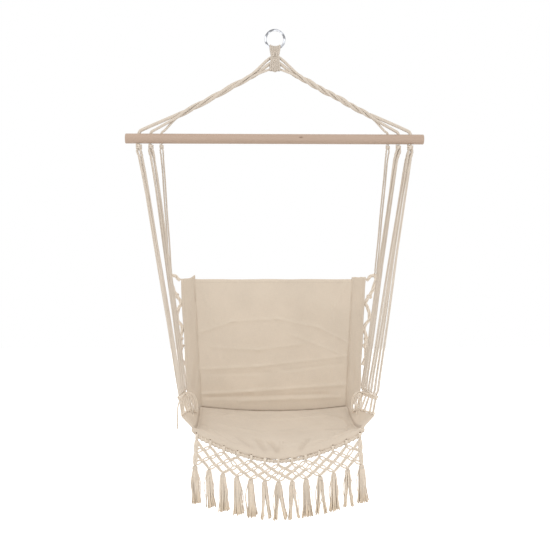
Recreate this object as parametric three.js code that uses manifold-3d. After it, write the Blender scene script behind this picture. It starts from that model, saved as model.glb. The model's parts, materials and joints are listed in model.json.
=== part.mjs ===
// Hammock chair: a steel ring, a cord collar, two twisted ropes, a wooden bar,
// and under it a cloth seat and back on fans of cord, with a knotted net and tassels in front.
// Millimetres. +Z is up and the sitter looks along -Y. The origin is the top of the ring's bore,
// where the hook or carabiner bears.
import * as THREE from "three";
import { mergeVertices } from "three/addons/utils/BufferGeometryUtils.js";
import Module from "manifold-3d";

const wasm = await Module();
wasm.setup();

// Fits
const gap = 0.3;
const holeClearance = 1.6;
const overrun = 5;

// Steel ring
const ringBore = 50;
const ringWire = 7;
const ringSteps = 32;
const wireSides = 10;
const ropeSides = 14;

// Collar of cord on the ring's bottom wire
const collarSwing = THREE.MathUtils.degToRad(39);
const eyeDiameter = 19;
const eyeSpan = THREE.MathUtils.degToRad(60);
const collarWaistWidth = 25;
const collarKnotWidth = 32;
const collarEyeWidth = 31;
const collarDepth = 20;
const collarWaistDrop = 20;
const collarKnotDrop = 46;
const collarDrop = 70;

// Spreader bar
const barLength = 900;
const barDiameter = 30;
const barDrop = 325;
const barEdgeRound = 3;
const barSides = 24;
const holeSides = 14;
const outerHoleInset = 41;
const middleHolePitch = 36;
const innerHolePitch = 32;

// Hanging ropes, three strands a side, named by the hole that they run to
const outerStrand = 9.6;
const middleStrand = 8;
const innerStrand = 6.4;
const strandSides = 7;
const topStrandDrop = 82;
const strandExitPitch = 17;
const twistRadius = 5.8;
const twistStartX = 66;
const twistStartDrop = 134;
const twistEndInset = 45;
const twistEndDrop = 259;
const leftTurns = 4 / 3;
const rightTurns = 7 / 3;
const stepsPerTurn = 10;
const exitShare = 0.36;

// Where a strand turns down into its hole: diameters short of the hole and above the bar
const bendShares = [[1.2, 1.25], [0.45, 0.85], [0, 0.12]];

// Stopper knots under the bar, with their centres on one line so that the seat swings there
const outerKnot = 21;
const middleKnot = 18;
const innerKnot = 14.5;

// Cords from the knots to the seat
const cordDiameter = 7.6;
const cornerCordDiameter = 5.2;
const cordSides = 6;
const fanDrop = 36;

// Places of a fan's cords under its knot, from the front cord back: shares of their pitch outwards
// and backwards
const frontFanShares = [[0.5, -0.5], [-0.5, -0.5], [0.5, 0.5], [-0.5, 0.5]];
const rearFanShares = [[0.5, -0.29], [-0.5, -0.29], [0, 0.58]];

// Seat and back
const seatCentreY = -95;
const seatDepth = 440;
const seatRearHalfWidth = 230;
const seatFrontHalfWidth = 235;
const seatThickness = 24;
const cornerFillShare = 0.42;
const lipStartShare = 0.8;
const cushionRimShare = 0.35;
const seatRearDrop = 1137;
const seatRearDip = 14;
const seatCornerDrop = 1152;
const seatFrontDip = 62;
const seatSideBowl = 24;
const seatMiddleBowl = 12;
const lipDepth = 38;
const edgeDrop = 1246.5;
const edgeRise = 76;
const edgePower = 1.7;
const bindingDiameter = 9;
const wingRearX = 254;
const wingFrontX = 267;
const wingRearDrop = 1145;
const wingFrontDrop = 1121;
const wingThickness = 7;
const wingRimShare = 0.4;
const backTopDrop = 746;
const backBottomDrop = 1172;
const backLean = 45;
const backTopHalfWidth = 248;
const backBottomHalfWidth = 224;
const backThickness = 20;
const backHollow = 8;
const bandWidth = 44;
const bandThickness = 14;
const bandRimShare = 0.5;

// Side macrame
const rowRearDrop = 1100;
const rowFrontDrop = 1075;
const rowRearX = 276;
const rowFrontX = 271;
const rowEndInset = 35;
const rowKnot = 15;
const legDiameter = 4.6;
const hemDiameter = 6;

// Lacing of the back
const laceDiameter = 6.4;
const laceKnot = 15;
const laceReach = 32;
const laceTopStop = 2;
const laceKnotStops = [2, 4, 9, 10];
const laceHeightShares = [0.985, 1.02, 1.01, 0.92, 0.87, 0.82, 0.77, 0.7, 0.64, 0.56, 0.5, 0.43, 0.36];
const laceOutShares = [0, 0.45, 1, 0.66, 0.36, 0, 0.3, 0.44, 0, 0.22, 0.17, 0.25, 0];

// Net and tassels
const netColumns = 13;
const netRows = 4;
const netCord = 3.8;
const netPairCord = 7.4;
const netKnot = 9.6;
const netTopHalfWidth = 224;
const netBottomHalfWidth = 228.6;
const netDrop = 1300;
const netRise = 46;
const netPower = 1.6;
const netSideCord = 12;
const tasselLength = 107;
const tasselFlutes = 6;
const tasselFluteShare = 0.86;
const tasselFoot = 26;
const tasselWidthShares = [0.3, 0.5, 0.66, 0.72, 0.84, 1];
const tasselDropShares = [0, 0.05, 0.14, 0.3, 0.7, 1];

// Places worked out from the sizes above
const ringRadius = (ringBore + ringWire) / 2;
const ringCentreZ = -ringBore / 2;
const swingZ = ringCentreZ - ringRadius;
const outerHoleX = barLength / 2 - outerHoleInset;
const middleHoleX = outerHoleX - middleHolePitch;
const innerHoleX = middleHoleX - innerHolePitch;
const twistEndX = innerHoleX - twistEndInset;
const barTopZ = -barDrop + barDiameter / 2;
const barBottomZ = -barDrop - barDiameter / 2;
const outerBore = outerStrand + holeClearance;
const knotLineZ = barBottomZ - Math.sqrt((outerKnot / 2 + gap) ** 2 - (outerBore / 2) ** 2);
const seatFrontY = seatCentreY - seatDepth / 2;
const seatRearY = seatCentreY + seatDepth / 2;
const rowCount = frontFanShares.length + rearFanShares.length;

// Finishes
const canvas = cloth(0xd6c9b6);
const cottonCord = cloth(0xd2c6b2);
const whitened = cloth(0xd8ccb9);
const steel = new THREE.MeshStandardMaterial({ color: 0xb9bcc0, roughness: 0.22, metalness: 1 });
const beech = new THREE.MeshStandardMaterial({ color: 0xc8b09a, roughness: 0.6, metalness: 0 });

function cloth(colour) {
  return new THREE.MeshStandardMaterial({ color: colour, roughness: 0.95, metalness: 0 });
}

// Helpers

function point(x, y, z) {
  return new THREE.Vector3(x, y, z);
}

function mix(from, to, share) {
  return from + (to - from) * share;
}

function part(name, geometry, material) {
  const mesh = new THREE.Mesh(geometry, material);
  mesh.name = name;
  return mesh;
}

// A route whose steps follow its points, so that short bends get as many steps as long runs.
class Route extends THREE.CatmullRomCurve3 {
  getPointAt(share, target) {
    return this.getPoint(share, target);
  }

  getTangentAt(share, target) {
    return this.getTangent(share, target);
  }
}

function disc(diameter, sides) {
  const corners = [];
  for (let i = 0; i < sides; i++) {
    const angle = (2 * Math.PI * i) / sides;
    corners.push(new THREE.Vector2(Math.cos(angle), Math.sin(angle)).multiplyScalar(diameter / 2));
  }
  return new THREE.Shape(corners);
}

function tube(points, diameter, sides, stepsPerSpan) {
  const route = new Route(points, false, "centripetal");
  const steps = (points.length - 1) * stepsPerSpan;
  const settings = { extrudePath: route, steps, bevelEnabled: false };
  return new THREE.ExtrudeGeometry(disc(diameter, sides), settings);
}

// A closed skin over rings of points, with a flat cap at each end, turned to face outwards.
function loft(rings) {
  const count = rings[0].length;
  const positions = [];
  for (const ring of rings) {
    for (const corner of ring) {
      positions.push(corner.x, corner.y, corner.z);
    }
  }
  const faces = [];
  for (let r = 0; r + 1 < rings.length; r++) {
    for (let i = 0; i < count; i++) {
      const here = r * count + i;
      const beside = r * count + ((i + 1) % count);
      faces.push(here, beside, beside + count, here, beside + count, here + count);
    }
  }
  const last = (rings.length - 1) * count;
  capFaces(rings[0], 0, faces, true);
  capFaces(rings[rings.length - 1], last, faces, false);
  const geometry = new THREE.BufferGeometry();
  geometry.setAttribute("position", new THREE.Float32BufferAttribute(positions, 3));
  geometry.setIndex(faces);
  return faceOut(geometry);
}

// A cap in a strip from side to side, which keeps a flat cushion's end flat.
function capFaces(ring, first, faces, start) {
  const count = ring.length;
  for (let i = 0; i + 1 < count / 2; i++) {
    const a = first + i;
    const b = first + i + 1;
    const c = first + count - 2 - i;
    const d = first + count - 1 - i;
    const corners = start ? [a, c, b, a, d, c] : [a, b, c, a, c, d];
    for (let t = 0; t < corners.length; t += 3) {
      const [p, q, r] = corners.slice(t, t + 3);
      if (p !== q && q !== r && r !== p) {
        faces.push(p, q, r);
      }
    }
  }
}

function faceOut(geometry) {
  const place = geometry.getAttribute("position");
  const faces = geometry.getIndex();
  const corner = [point(), point(), point()];
  let volume = 0;
  for (let i = 0; i < faces.count; i += 3) {
    corner.forEach((v, k) => v.fromBufferAttribute(place, faces.getX(i + k)));
    volume += corner[0].dot(corner[1].clone().cross(corner[2]));
  }
  if (volume < 0) {
    faces.array.reverse();
  }
  geometry.computeVertexNormals();
  return geometry;
}

function solid(geometry) {
  const bare = geometry.clone();
  bare.deleteAttribute("normal");
  bare.deleteAttribute("uv");
  const merged = mergeVertices(bare, gap / 1000);
  const triVerts = new Uint32Array(merged.getIndex().array);
  const vertProperties = merged.getAttribute("position").array;
  return new wasm.Manifold(new wasm.Mesh({ numProp: 3, vertProperties, triVerts }));
}

function geometryOf(body) {
  const mesh = body.getMesh();
  const geometry = new THREE.BufferGeometry();
  geometry.setAttribute("position", new THREE.Float32BufferAttribute(mesh.vertProperties, 3));
  geometry.setIndex(new THREE.BufferAttribute(mesh.triVerts, 1));
  geometry.computeVertexNormals();
  return geometry;
}

function joined(geometries) {
  let body = solid(geometries[0]);
  for (const geometry of geometries.slice(1)) {
    body = body.add(solid(geometry));
  }
  return geometryOf(body);
}

function ball(centre, diameter, around = 9, down = 6) {
  return new THREE.SphereGeometry(diameter / 2, around, down).translate(centre.x, centre.y, centre.z);
}

// The eight sides of a lattice's knot, counted from the right side round to the left.
const portNames = ["east", "northEast", "north", "northWest", "west", "southWest", "south", "southEast"];
const port = Object.fromEntries(portNames.map((name, side) => [name, side]));
const knotSides = portNames.length;

// Knotted cords as one skin: each knot is an eight-sided pillow, and each link runs from a side of one
// knot to a side of another. A link with a swell is that much thicker halfway.
function lattice(knots, links, { right, up, out }) {
  const positions = [];
  const faces = [];
  const taken = new Set();
  const cornersPerKnot = 2 * knotSides + 2;
  const quad = (a, b, c, d) => faces.push(a, b, c, a, c, d);
  const add = (spot) => positions.push(spot.x, spot.y, spot.z) / 3 - 1;
  const at = (index) => point(...positions.slice(3 * index, 3 * index + 3));
  for (const { spot, radius, half } of knots) {
    for (const depth of [half, -half]) {
      for (let i = 0; i < knotSides; i++) {
        const angle = ((i - 1 / 2) * 2 * Math.PI) / knotSides;
        const corner = spot.clone().addScaledVector(right, radius * Math.cos(angle));
        add(corner.addScaledVector(up, radius * Math.sin(angle)).addScaledVector(out, depth));
      }
    }
    add(spot.clone().addScaledVector(out, radius));
    add(spot.clone().addScaledVector(out, -radius));
  }
  // The front and back corners where a side of a knot begins and ends.
  const side = (knot, facing) => {
    const start = knot * cornersPerKnot + facing;
    const end = knot * cornersPerKnot + ((facing + 1) % knotSides);
    return [start, end, start + knotSides, end + knotSides];
  };
  for (const [a, portA, b, portB, swell] of links) {
    taken.add(`${a} ${portA}`).add(`${b} ${portB}`);
    const [startA, endA, startABack, endABack] = side(a, portA);
    const [startB, endB, startBBack, endBBack] = side(b, portB);
    let from = [startA, endA, endABack, startABack];
    const to = [endB, startB, startBBack, endBBack];
    const stops = [to];
    if (swell) {
      const halfway = from.map((corner, i) => at(corner).lerp(at(to[i]), 1 / 2));
      const centre = halfway.reduce((sum, spot) => sum.add(spot.clone().divideScalar(4)), point());
      stops.unshift(halfway.map((spot) => add(centre.clone().lerp(spot, swell))));
    }
    for (const next of stops) {
      from.forEach((corner, i) => {
        const j = (i + 1) % 4;
        quad(corner, next[i], next[j], from[j]);
      });
      from = next;
    }
  }
  knots.forEach((_, knot) => {
    const front = (knot + 1) * cornersPerKnot - 2;
    for (let facing = 0; facing < knotSides; facing++) {
      const [start, end, startBack, endBack] = side(knot, facing);
      faces.push(front, start, end, front + 1, endBack, startBack);
      if (!taken.has(`${knot} ${facing}`)) {
        quad(start, startBack, endBack, end);
      }
    }
  });
  const geometry = new THREE.BufferGeometry();
  geometry.setAttribute("position", new THREE.Float32BufferAttribute(positions, 3));
  geometry.setIndex(faces);
  return faceOut(geometry);
}

// A padded sheet. place gives the middle of its cloth, the way its thickness points and, where it is
// thinner, how far it is filled. It is drawn in to rimShare of its thickness at its edges.
function pad({ across, along, thickness, rimShare, place }) {
  const rings = [];
  for (let i = 0; i <= along; i++) {
    const length = (1 - Math.cos((Math.PI * i) / along)) / 2;
    const lengthCrown = crown(2 * length - 1, rimShare);
    const top = [];
    const under = [];
    for (let j = 0; j <= across; j++) {
      const width = -Math.cos((Math.PI * j) / across);
      const { middle, way, fill = 1 } = place(width, length);
      const half = (thickness / 2) * fill * Math.min(lengthCrown, crown(width, rimShare));
      top.push(middle.clone().addScaledVector(way, half));
      under.unshift(middle.clone().addScaledVector(way, -half));
    }
    rings.push([...top, ...under]);
  }
  return loft(rings);
}

function crown(share, rimShare) {
  return rimShare + (1 - rimShare) * Math.sqrt(1 - Math.pow(Math.abs(share), 6));
}

// Steel ring and collar

function steelRing() {
  const ring = new THREE.TorusGeometry(ringRadius, ringWire / 2, wireSides, ringSteps);
  return ring.rotateX(Math.PI / 2).translate(0, 0, ringCentreZ);
}

function ringPoint(angle) {
  return point(ringRadius * Math.sin(angle), 0, ringCentreZ - ringRadius * Math.cos(angle));
}

// The bore of the eye: the ring's wire, widened by all the places it takes as the collar swings.
function swungWire() {
  const rings = [];
  const stations = 8;
  const sides = ropeSides;
  const reach = eyeSpan / 2 + overrun / ringRadius;
  for (let i = 0; i <= stations; i++) {
    const angle = mix(-reach, reach, i / stations);
    const onWire = ringPoint(angle);
    const rise = onWire.z - swingZ;
    const ring = [];
    for (let j = 0; j < sides; j++) {
      const way = -Math.PI + (2 * Math.PI * j) / sides;
      const swung = THREE.MathUtils.clamp(way, -collarSwing, collarSwing);
      const radius = ringWire / 2 + gap;
      const y = rise * Math.sin(swung) + radius * Math.sin(way);
      const z = swingZ + rise * Math.cos(swung) + (radius * Math.cos(way)) / Math.cos(angle);
      ring.push(point(onWire.x, y, z));
    }
    rings.push(ring);
  }
  return loft(rings);
}

function eyeBead() {
  const points = [];
  const spans = 6;
  for (let i = 0; i <= spans; i++) {
    points.push(ringPoint(mix(-eyeSpan / 2, eyeSpan / 2, i / spans)));
  }
  return tube(points, eyeDiameter, ropeSides, 1);
}

function collarNeck() {
  const halfwayDrop = (collarWaistDrop + collarKnotDrop) / 2;
  const halfwayWidth = (collarWaistWidth + collarKnotWidth) / 2;
  const stops = [
    { drop: 0, width: collarEyeWidth },
    { drop: collarWaistDrop, width: collarWaistWidth },
    { drop: halfwayDrop, width: halfwayWidth },
    { drop: collarKnotDrop, width: collarKnotWidth },
    { drop: collarDrop - overrun, width: collarKnotWidth },
    { drop: collarDrop, width: collarWaistWidth },
  ];
  const sides = 12;
  const rings = stops.map(({ drop, width }) => {
    const ring = [];
    for (let j = 0; j < sides; j++) {
      const angle = (2 * Math.PI * (j + 1 / 2)) / sides;
      const x = squared(Math.cos(angle)) * (width / 2);
      const y = squared(Math.sin(angle)) * (collarDepth / 2);
      ring.push(point(x, y, swingZ - drop));
    }
    return ring;
  });
  return loft(rings);
}

// A share of a circle's radius, pushed out so that the round becomes a rounded rectangle.
function squared(share) {
  return Math.sign(share) * Math.sqrt(Math.abs(share));
}

function hangingCollar() {
  const body = solid(eyeBead()).add(solid(collarNeck())).subtract(solid(swungWire()));
  return geometryOf(body);
}

// Bar, hanging strands and stopper knots

function spreaderBar() {
  const radius = barDiameter / 2;
  const half = barLength / 2;
  const outline = [
    new THREE.Vector2(0, -half),
    new THREE.Vector2(radius - barEdgeRound, -half),
    new THREE.Vector2(radius, -half + barEdgeRound),
    new THREE.Vector2(radius, half - barEdgeRound),
    new THREE.Vector2(radius - barEdgeRound, half),
    new THREE.Vector2(0, half),
  ];
  const rod = new THREE.LatheGeometry(outline, barSides).rotateZ(Math.PI / 2);
  let body = solid(rod.translate(0, 0, -barDrop));
  for (const side of [-1, 1]) {
    for (const hole of holes()) {
      const length = barDiameter + 2 * overrun;
      const drill = new THREE.CylinderGeometry(hole.bore / 2, hole.bore / 2, length, holeSides);
      drill.rotateX(Math.PI / 2).translate(side * hole.x, 0, -barDrop);
      body = body.subtract(solid(drill));
    }
  }
  return geometryOf(body);
}

// The three holes at each end of the bar, from the outermost inwards.
function holes() {
  const middleBore = middleStrand + holeClearance;
  const innerBore = innerStrand + holeClearance;
  return [
    { name: "outer", x: outerHoleX, strand: outerStrand, bore: outerBore, knot: outerKnot },
    { name: "middle", x: middleHoleX, strand: middleStrand, bore: middleBore, knot: middleKnot },
    { name: "inner", x: innerHoleX, strand: innerStrand, bore: innerBore, knot: innerKnot },
  ];
}

// The strand's way from the collar, round its rope's twist, and out to its hole. order is 0 for the
// outer hole's strand, which comes off the top of the twist, then 1 and 2 for the lower two.
function strandRoute(side, order, turns) {
  const hole = holes()[order];
  const exitRank = [1, 0, 2][order];
  const exitDrop = topStrandDrop + exitRank * strandExitPitch;
  const exitX = collarKnotWidth / 2 + gap;
  const points = [point(exitX + exitShare * hole.strand, 0, -exitDrop)];
  const start = point(twistStartX, 0, -twistStartDrop);
  const end = point(twistEndX, 0, -twistEndDrop);
  const along = end.clone().sub(start).normalize();
  const up = point(-along.z, 0, along.x).multiplyScalar(Math.sign(along.x));
  const steps = Math.round(turns * stepsPerTurn);
  const lastPhase = Math.PI / 2 + (order * 2 * Math.PI) / 3;
  for (let i = 0; i <= steps; i++) {
    const phase = lastPhase - 2 * Math.PI * turns * (1 - i / steps);
    const spot = start.clone().lerp(end, i / steps);
    spot.addScaledVector(up, twistRadius * Math.sin(phase));
    spot.y += twistRadius * Math.cos(phase);
    points.push(spot);
  }
  for (const [shortShare, aboveShare] of bendShares) {
    points.push(point(hole.x - shortShare * hole.strand, 0, barTopZ + aboveShare * hole.strand));
  }
  points.push(point(hole.x, 0, barTopZ - hole.strand));
  points.push(point(hole.x, 0, knotLineZ + hole.knot / 2 + gap));
  for (const spot of points) {
    spot.x *= side;
  }
  return points;
}

function stopperKnot(side, hole) {
  return ball(point(side * hole.x, 0, knotLineZ), hole.knot);
}

// Cords under the bar

// The knot of the side row that a cord runs to, counted from the front.
function rowKnotPlace(side, rank) {
  const share = rank / (rowCount - 1);
  const y = mix(seatFrontY + rowEndInset, seatRearY - rowEndInset, share);
  return point(side * mix(rowFrontX, rowRearX, share), y, -mix(rowFrontDrop, rowRearDrop, share));
}

// A cord that leaves its stopper knot squarely, stands off from the knot's middle line by offset and
// runs straight to its knot below.
function fanCord({ knotCentre, knotDiameter, offset, cord, target, targetDiameter }) {
  const radius = knotDiameter / 2 + gap;
  const angle = offset.length() / radius;
  const beside = offset.clone().normalize();
  const out = beside.multiplyScalar(Math.sin(angle)).add(point(0, 0, -Math.cos(angle)));
  const start = knotCentre.clone().addScaledVector(out, radius);
  const square = knotCentre.clone().addScaledVector(out, radius + cord / 2);
  const run = target.clone().sub(knotCentre).normalize();
  const free = knotCentre.clone().addScaledVector(run, fanDrop).add(offset);
  const arrival = target.clone().sub(free).normalize();
  const end = target.clone().addScaledVector(arrival, -targetDiameter / 2 - gap);
  const beforeEnd = end.clone().addScaledVector(arrival, -2 * cord);
  return tube([start, square, free, beforeEnd, end], cord, cordSides, 2);
}

function seatCords(side, word) {
  const meshes = [];
  const [outer, middle, inner] = holes();
  const pitch = cordDiameter + 2 * gap;
  for (const [hole, fanShares] of [[outer, frontFanShares], [middle, rearFanShares]]) {
    for (const [outShare, backShare] of fanShares) {
      const rank = meshes.length;
      const geometry = fanCord({
        knotCentre: point(side * hole.x, 0, knotLineZ),
        knotDiameter: hole.knot,
        offset: point(side * outShare * pitch, backShare * pitch, 0),
        cord: cordDiameter,
        target: rowKnotPlace(side, rank),
        targetDiameter: rowKnot,
      });
      meshes.push(part(`seat_cord_${word}_${rank + 1}`, geometry, cottonCord));
    }
  }
  for (const rank of [0, 1]) {
    const outwards = side * Math.sign(rank - 1 / 2);
    const target = laceTop(side);
    target.x += outwards * (cornerCordDiameter / 2 + 2 * gap);
    const geometry = fanCord({
      knotCentre: point(side * inner.x, 0, knotLineZ),
      knotDiameter: inner.knot,
      offset: point(outwards * (cornerCordDiameter / 2 + gap), 0, 0),
      cord: cornerCordDiameter,
      target,
      targetDiameter: laceKnot,
    });
    meshes.push(part(`back_cord_${word}_${rank + 1}`, geometry, cottonCord));
  }
  return meshes;
}

// Side macrame: a row of knots, two legs from each and the hem cord on the seat's wing.
function sideMacrame(side) {
  const knots = [];
  const links = [];
  const pitch = (seatDepth - 2 * rowEndInset) / (rowCount - 1);
  const hemRadius = hemDiameter / 2;
  for (let rank = 0; rank < rowCount; rank++) {
    const spot = rowKnotPlace(side, rank);
    const row = knots.push({ spot, radius: rowKnot / 2, half: legDiameter / 2 }) - 1;
    const feet = [-1, 1].map((lean) => {
      const foot = wingTop(side, spot.y + (lean * pitch) / 4);
      foot.z += gap + hemRadius;
      return knots.push({ spot: foot, radius: hemRadius, half: legDiameter / 2 }) - 1;
    });
    links.push([row, port.southWest, feet[0], port.northEast]);
    links.push([row, port.southEast, feet[1], port.northWest]);
    links.push([feet[0], port.east, feet[1], port.west]);
    if (rank > 0) {
      const [rowBefore, footBefore] = [row - 3, row - 1];
      links.push([rowBefore, port.east, row, port.west]);
      links.push([footBefore, port.east, feet[0], port.west]);
    }
  }
  return lattice(knots, links, { right: point(0, 1, 0), up: point(0, 0, 1), out: point(1, 0, 0) });
}

// Lacing that runs down beside the back and catches its band's edge.
function laceTop(side) {
  const outside = backTopHalfWidth + bandWidth + laceReach;
  return point(side * outside, backPlace(0, 1).middle.y, -backTopDrop + laceKnot / 2);
}

function backLacing(side) {
  const top = laceTop(side);
  const beside = bandWidth + 2 * gap + laceDiameter / 2;
  const points = laceHeightShares.map((heightShare, stop) => {
    const edge = backPlace(1, heightShare).middle;
    return point(side * (edge.x + beside + laceOutShares[stop] * laceReach), edge.y, edge.z);
  });
  points[laceTopStop] = top;
  const knots = laceKnotStops.map((stop) => ball(points[stop], laceKnot, 8, 6));
  return joined([tube(points, laceDiameter, cordSides, 2), ...knots]);
}

// Back

function backPlace(width, height) {
  const topY = seatRearY + backLean;
  const tall = backBottomDrop - backTopDrop;
  const way = point(0, -tall, -backLean).normalize();
  const footY = seatRearY + gap + backThickness / 2;
  const hollow = backHollow * (1 - width * width) * Math.sin(Math.PI * THREE.MathUtils.clamp(height, 0, 1));
  const x = width * mix(backBottomHalfWidth, backTopHalfWidth, height);
  const y = mix(footY, topY, height) + hollow;
  return { middle: point(x, y, mix(-backBottomDrop, -backTopDrop, height)), way };
}

function backPanel() {
  const size = { thickness: backThickness, rimShare: cushionRimShare };
  return pad({ across: 12, along: 14, ...size, place: backPlace });
}

function backBand(side) {
  const place = (width, height) => {
    const edge = backPlace(side, height);
    const out = side * (gap + ((1 + side * width) / 2) * bandWidth);
    return { middle: edge.middle.clone().add(point(out, 0, 0)), way: edge.way };
  };
  return pad({ across: 4, along: 8, thickness: bandThickness, rimShare: bandRimShare, place });
}

// Seat

// The cloth's middle: nearly level from the back to the lip, then rolled over and down in front.
function seatPlace(width, length) {
  const fill = mix(1, cornerFillShare, Math.pow(width, 4) * length * length);
  const half = (seatThickness / 2) * fill;
  const dip = 1 - width * width;
  const rearZ = -seatRearDrop - half - seatRearDip * dip;
  const crestZ = -seatCornerDrop - half - seatFrontDip * dip;
  const rimZ = aboveEdge(width * seatFrontHalfWidth, bindingDiameter / 2 + gap).z;
  const profile = (share) => {
    if (share < lipStartShare) {
      const run = share / lipStartShare;
      const sag = mix(seatSideBowl, seatMiddleBowl, dip) * Math.sin(Math.PI * run);
      return [mix(seatRearY, seatFrontY + lipDepth, run), mix(rearZ, crestZ, run) - sag];
    }
    const turn = (Math.PI / 2) * ((share - lipStartShare) / (1 - lipStartShare));
    const y = seatFrontY + lipDepth * (1 - Math.sin(turn));
    return [y, mix(rimZ, crestZ, Math.cos(turn))];
  };
  const [y, z] = profile(length);
  const nudge = 1 / 5000;
  const [aheadY, aheadZ] = profile(Math.min(1, length + nudge));
  const [behindY, behindZ] = profile(Math.max(0, length - nudge));
  const way = point(0, aheadZ - behindZ, behindY - aheadY).normalize();
  return { middle: point(width * seatHalfWidth(y), y, z), way, fill };
}

function seatHalfWidth(y) {
  return mix(seatRearHalfWidth, seatFrontHalfWidth, (seatRearY - y) / seatDepth);
}

// The height of the cloth's middle along the seat's sides.
function seatSideZ(y) {
  const run = THREE.MathUtils.clamp((seatRearY - y) / (seatDepth - lipDepth), 0, 1);
  return seatPlace(1, run * lipStartShare).middle.z;
}

// The front edge hangs in a curve, lowest in the middle.
function edgeZ(x) {
  return -edgeDrop + edgeRise * Math.pow(Math.abs(x) / seatFrontHalfWidth, edgePower);
}

// A point straight above the front edge's middle line, at a distance that is measured square to it.
function aboveEdge(x, distance) {
  const share = Math.abs(x) / seatFrontHalfWidth;
  const slope = ((edgePower * edgeRise) / seatFrontHalfWidth) * Math.pow(share, edgePower - 1);
  return point(x, seatFrontY, edgeZ(x) + distance * Math.hypot(1, slope));
}

function seatPad() {
  const size = { thickness: seatThickness, rimShare: cushionRimShare };
  return pad({ across: 14, along: 18, ...size, place: seatPlace });
}

function wingTop(side, y) {
  const share = (seatRearY - y) / seatDepth;
  return point(side * mix(wingRearX, wingFrontX, share), y, -mix(wingRearDrop, wingFrontDrop, share));
}

function seatWing(side) {
  const rim = (wingRimShare * wingThickness) / 2;
  const place = (width, length) => {
    const fromY = seatRearY - wingThickness;
    const toY = seatFrontY + lipDepth / 2;
    const y = mix(fromY, toY, length);
    const footX = seatHalfWidth(y) + gap + rim;
    const foot = point(side * footX, y, seatSideZ(y));
    const top = wingTop(side, y);
    const rise = top.clone().sub(foot);
    const way = point(-side * rise.z, 0, Math.abs(rise.x)).normalize();
    top.z -= rim * way.z;
    return { middle: foot.clone().lerp(top, (1 + width) / 2), way };
  };
  return pad({ across: 4, along: 8, thickness: wingThickness, rimShare: wingRimShare, place });
}

function seatBinding() {
  const points = [];
  const spans = 24;
  for (let i = 0; i <= spans; i++) {
    const x = mix(-seatFrontHalfWidth, seatFrontHalfWidth, i / spans);
    points.push(point(x, seatFrontY, edgeZ(x)));
  }
  return tube(points, bindingDiameter, 8, 1);
}

// Net: rows of knots that alternate, from the binding down to the tassels' knots.

function netCount(row) {
  return row % 2 === 0 ? netColumns : netColumns - 1;
}

function netPlace(row, column) {
  const inset = row % 2 === 0 ? 0 : 1 / 2;
  const across = (2 * (column + inset)) / (netColumns - 1) - 1;
  const down = row / netRows;
  const x = across * mix(netTopHalfWidth, netBottomHalfWidth, down);
  const top = aboveEdge(x, -bindingDiameter / 2 - gap - netKnot / 2);
  const bottomZ = -netDrop + netRise * Math.pow(Math.abs(across), netPower);
  return point(x, seatFrontY, mix(top.z, bottomZ, down));
}

function frontNet() {
  const knots = [];
  const links = [];
  const first = [];
  const pairSwell = netPairCord / netCord;
  for (let row = 0; row <= netRows; row++) {
    first.push(knots.length);
    for (let column = 0; column < netCount(row); column++) {
      knots.push({ spot: netPlace(row, column), radius: netKnot / 2, half: netCord / 2 });
    }
  }
  for (let row = 0; row < netRows; row++) {
    const shift = row % 2 === 0 ? -1 : 0;
    for (let column = 0; column < netCount(row); column++) {
      const here = first[row] + column;
      const left = column + shift;
      if (left >= 0) {
        links.push([here, port.southWest, first[row + 1] + left, port.northEast, pairSwell]);
      }
      if (left + 1 < netCount(row + 1)) {
        links.push([here, port.southEast, first[row + 1] + left + 1, port.northWest, pairSwell]);
      }
    }
  }
  for (let row = 0; row + 2 <= netRows; row += 2) {
    for (const column of [0, netColumns - 1]) {
      const upper = first[row] + column;
      const lower = first[row + 2] + column;
      links.push([upper, port.south, lower, port.north, netSideCord / netCord]);
    }
  }
  return lattice(knots, links, { right: point(1, 0, 0), up: point(0, 0, 1), out: point(0, -1, 0) });
}

// A tassel hangs from its knot: a tied neck, a fluted skirt and a cut foot.
function tassel(column) {
  const knot = netPlace(netRows, column);
  const sides = 2 * tasselFlutes;
  const rings = tasselDropShares.map((share, stop) => {
    const ring = [];
    for (let j = 0; j < sides; j++) {
      const angle = (2 * Math.PI * j) / sides;
      const flute = j % 2 === 0 ? 1 : tasselFluteShare;
      const radius = (tasselFoot / 2) * tasselWidthShares[stop] * flute;
      const x = knot.x + radius * Math.cos(angle);
      const y = knot.y + radius * Math.sin(angle);
      ring.push(point(x, y, knot.z - netKnot / 2 - gap - share * tasselLength));
    }
    return ring;
  });
  return loft(rings);
}

// Assembly

function hangingParts() {
  const group = new THREE.Group();
  group.add(part("hanging_collar", hangingCollar(), cottonCord));
  for (const [side, word, turns] of [[-1, "left", leftTurns], [1, "right", rightTurns]]) {
    holes().forEach((hole, order) => {
      const rope = tube(strandRoute(side, order, turns), hole.strand, strandSides, 1);
      group.add(part(`rope_strand_${word}_${hole.name}`, rope, cottonCord));
      group.add(part(`stopper_knot_${word}_${hole.name}`, stopperKnot(side, hole), cottonCord));
    });
  }
  group.add(part("spreader_bar", spreaderBar(), beech));
  return group;
}

function seatParts() {
  const group = new THREE.Group();
  for (const [side, word] of [[-1, "left"], [1, "right"]]) {
    group.add(...seatCords(side, word));
    group.add(part(`side_macrame_${word}`, sideMacrame(side), whitened));
    group.add(part(`back_lacing_${word}`, backLacing(side), whitened));
    group.add(part(`back_band_${word}`, backBand(side), canvas));
    group.add(part(`seat_wing_${word}`, seatWing(side), canvas));
  }
  group.add(part("back_panel", backPanel(), canvas));
  group.add(part("seat_pad", seatPad(), canvas));
  group.add(part("seat_binding", seatBinding(), canvas));
  group.add(part("front_net", frontNet(), whitened));
  return group;
}

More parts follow.
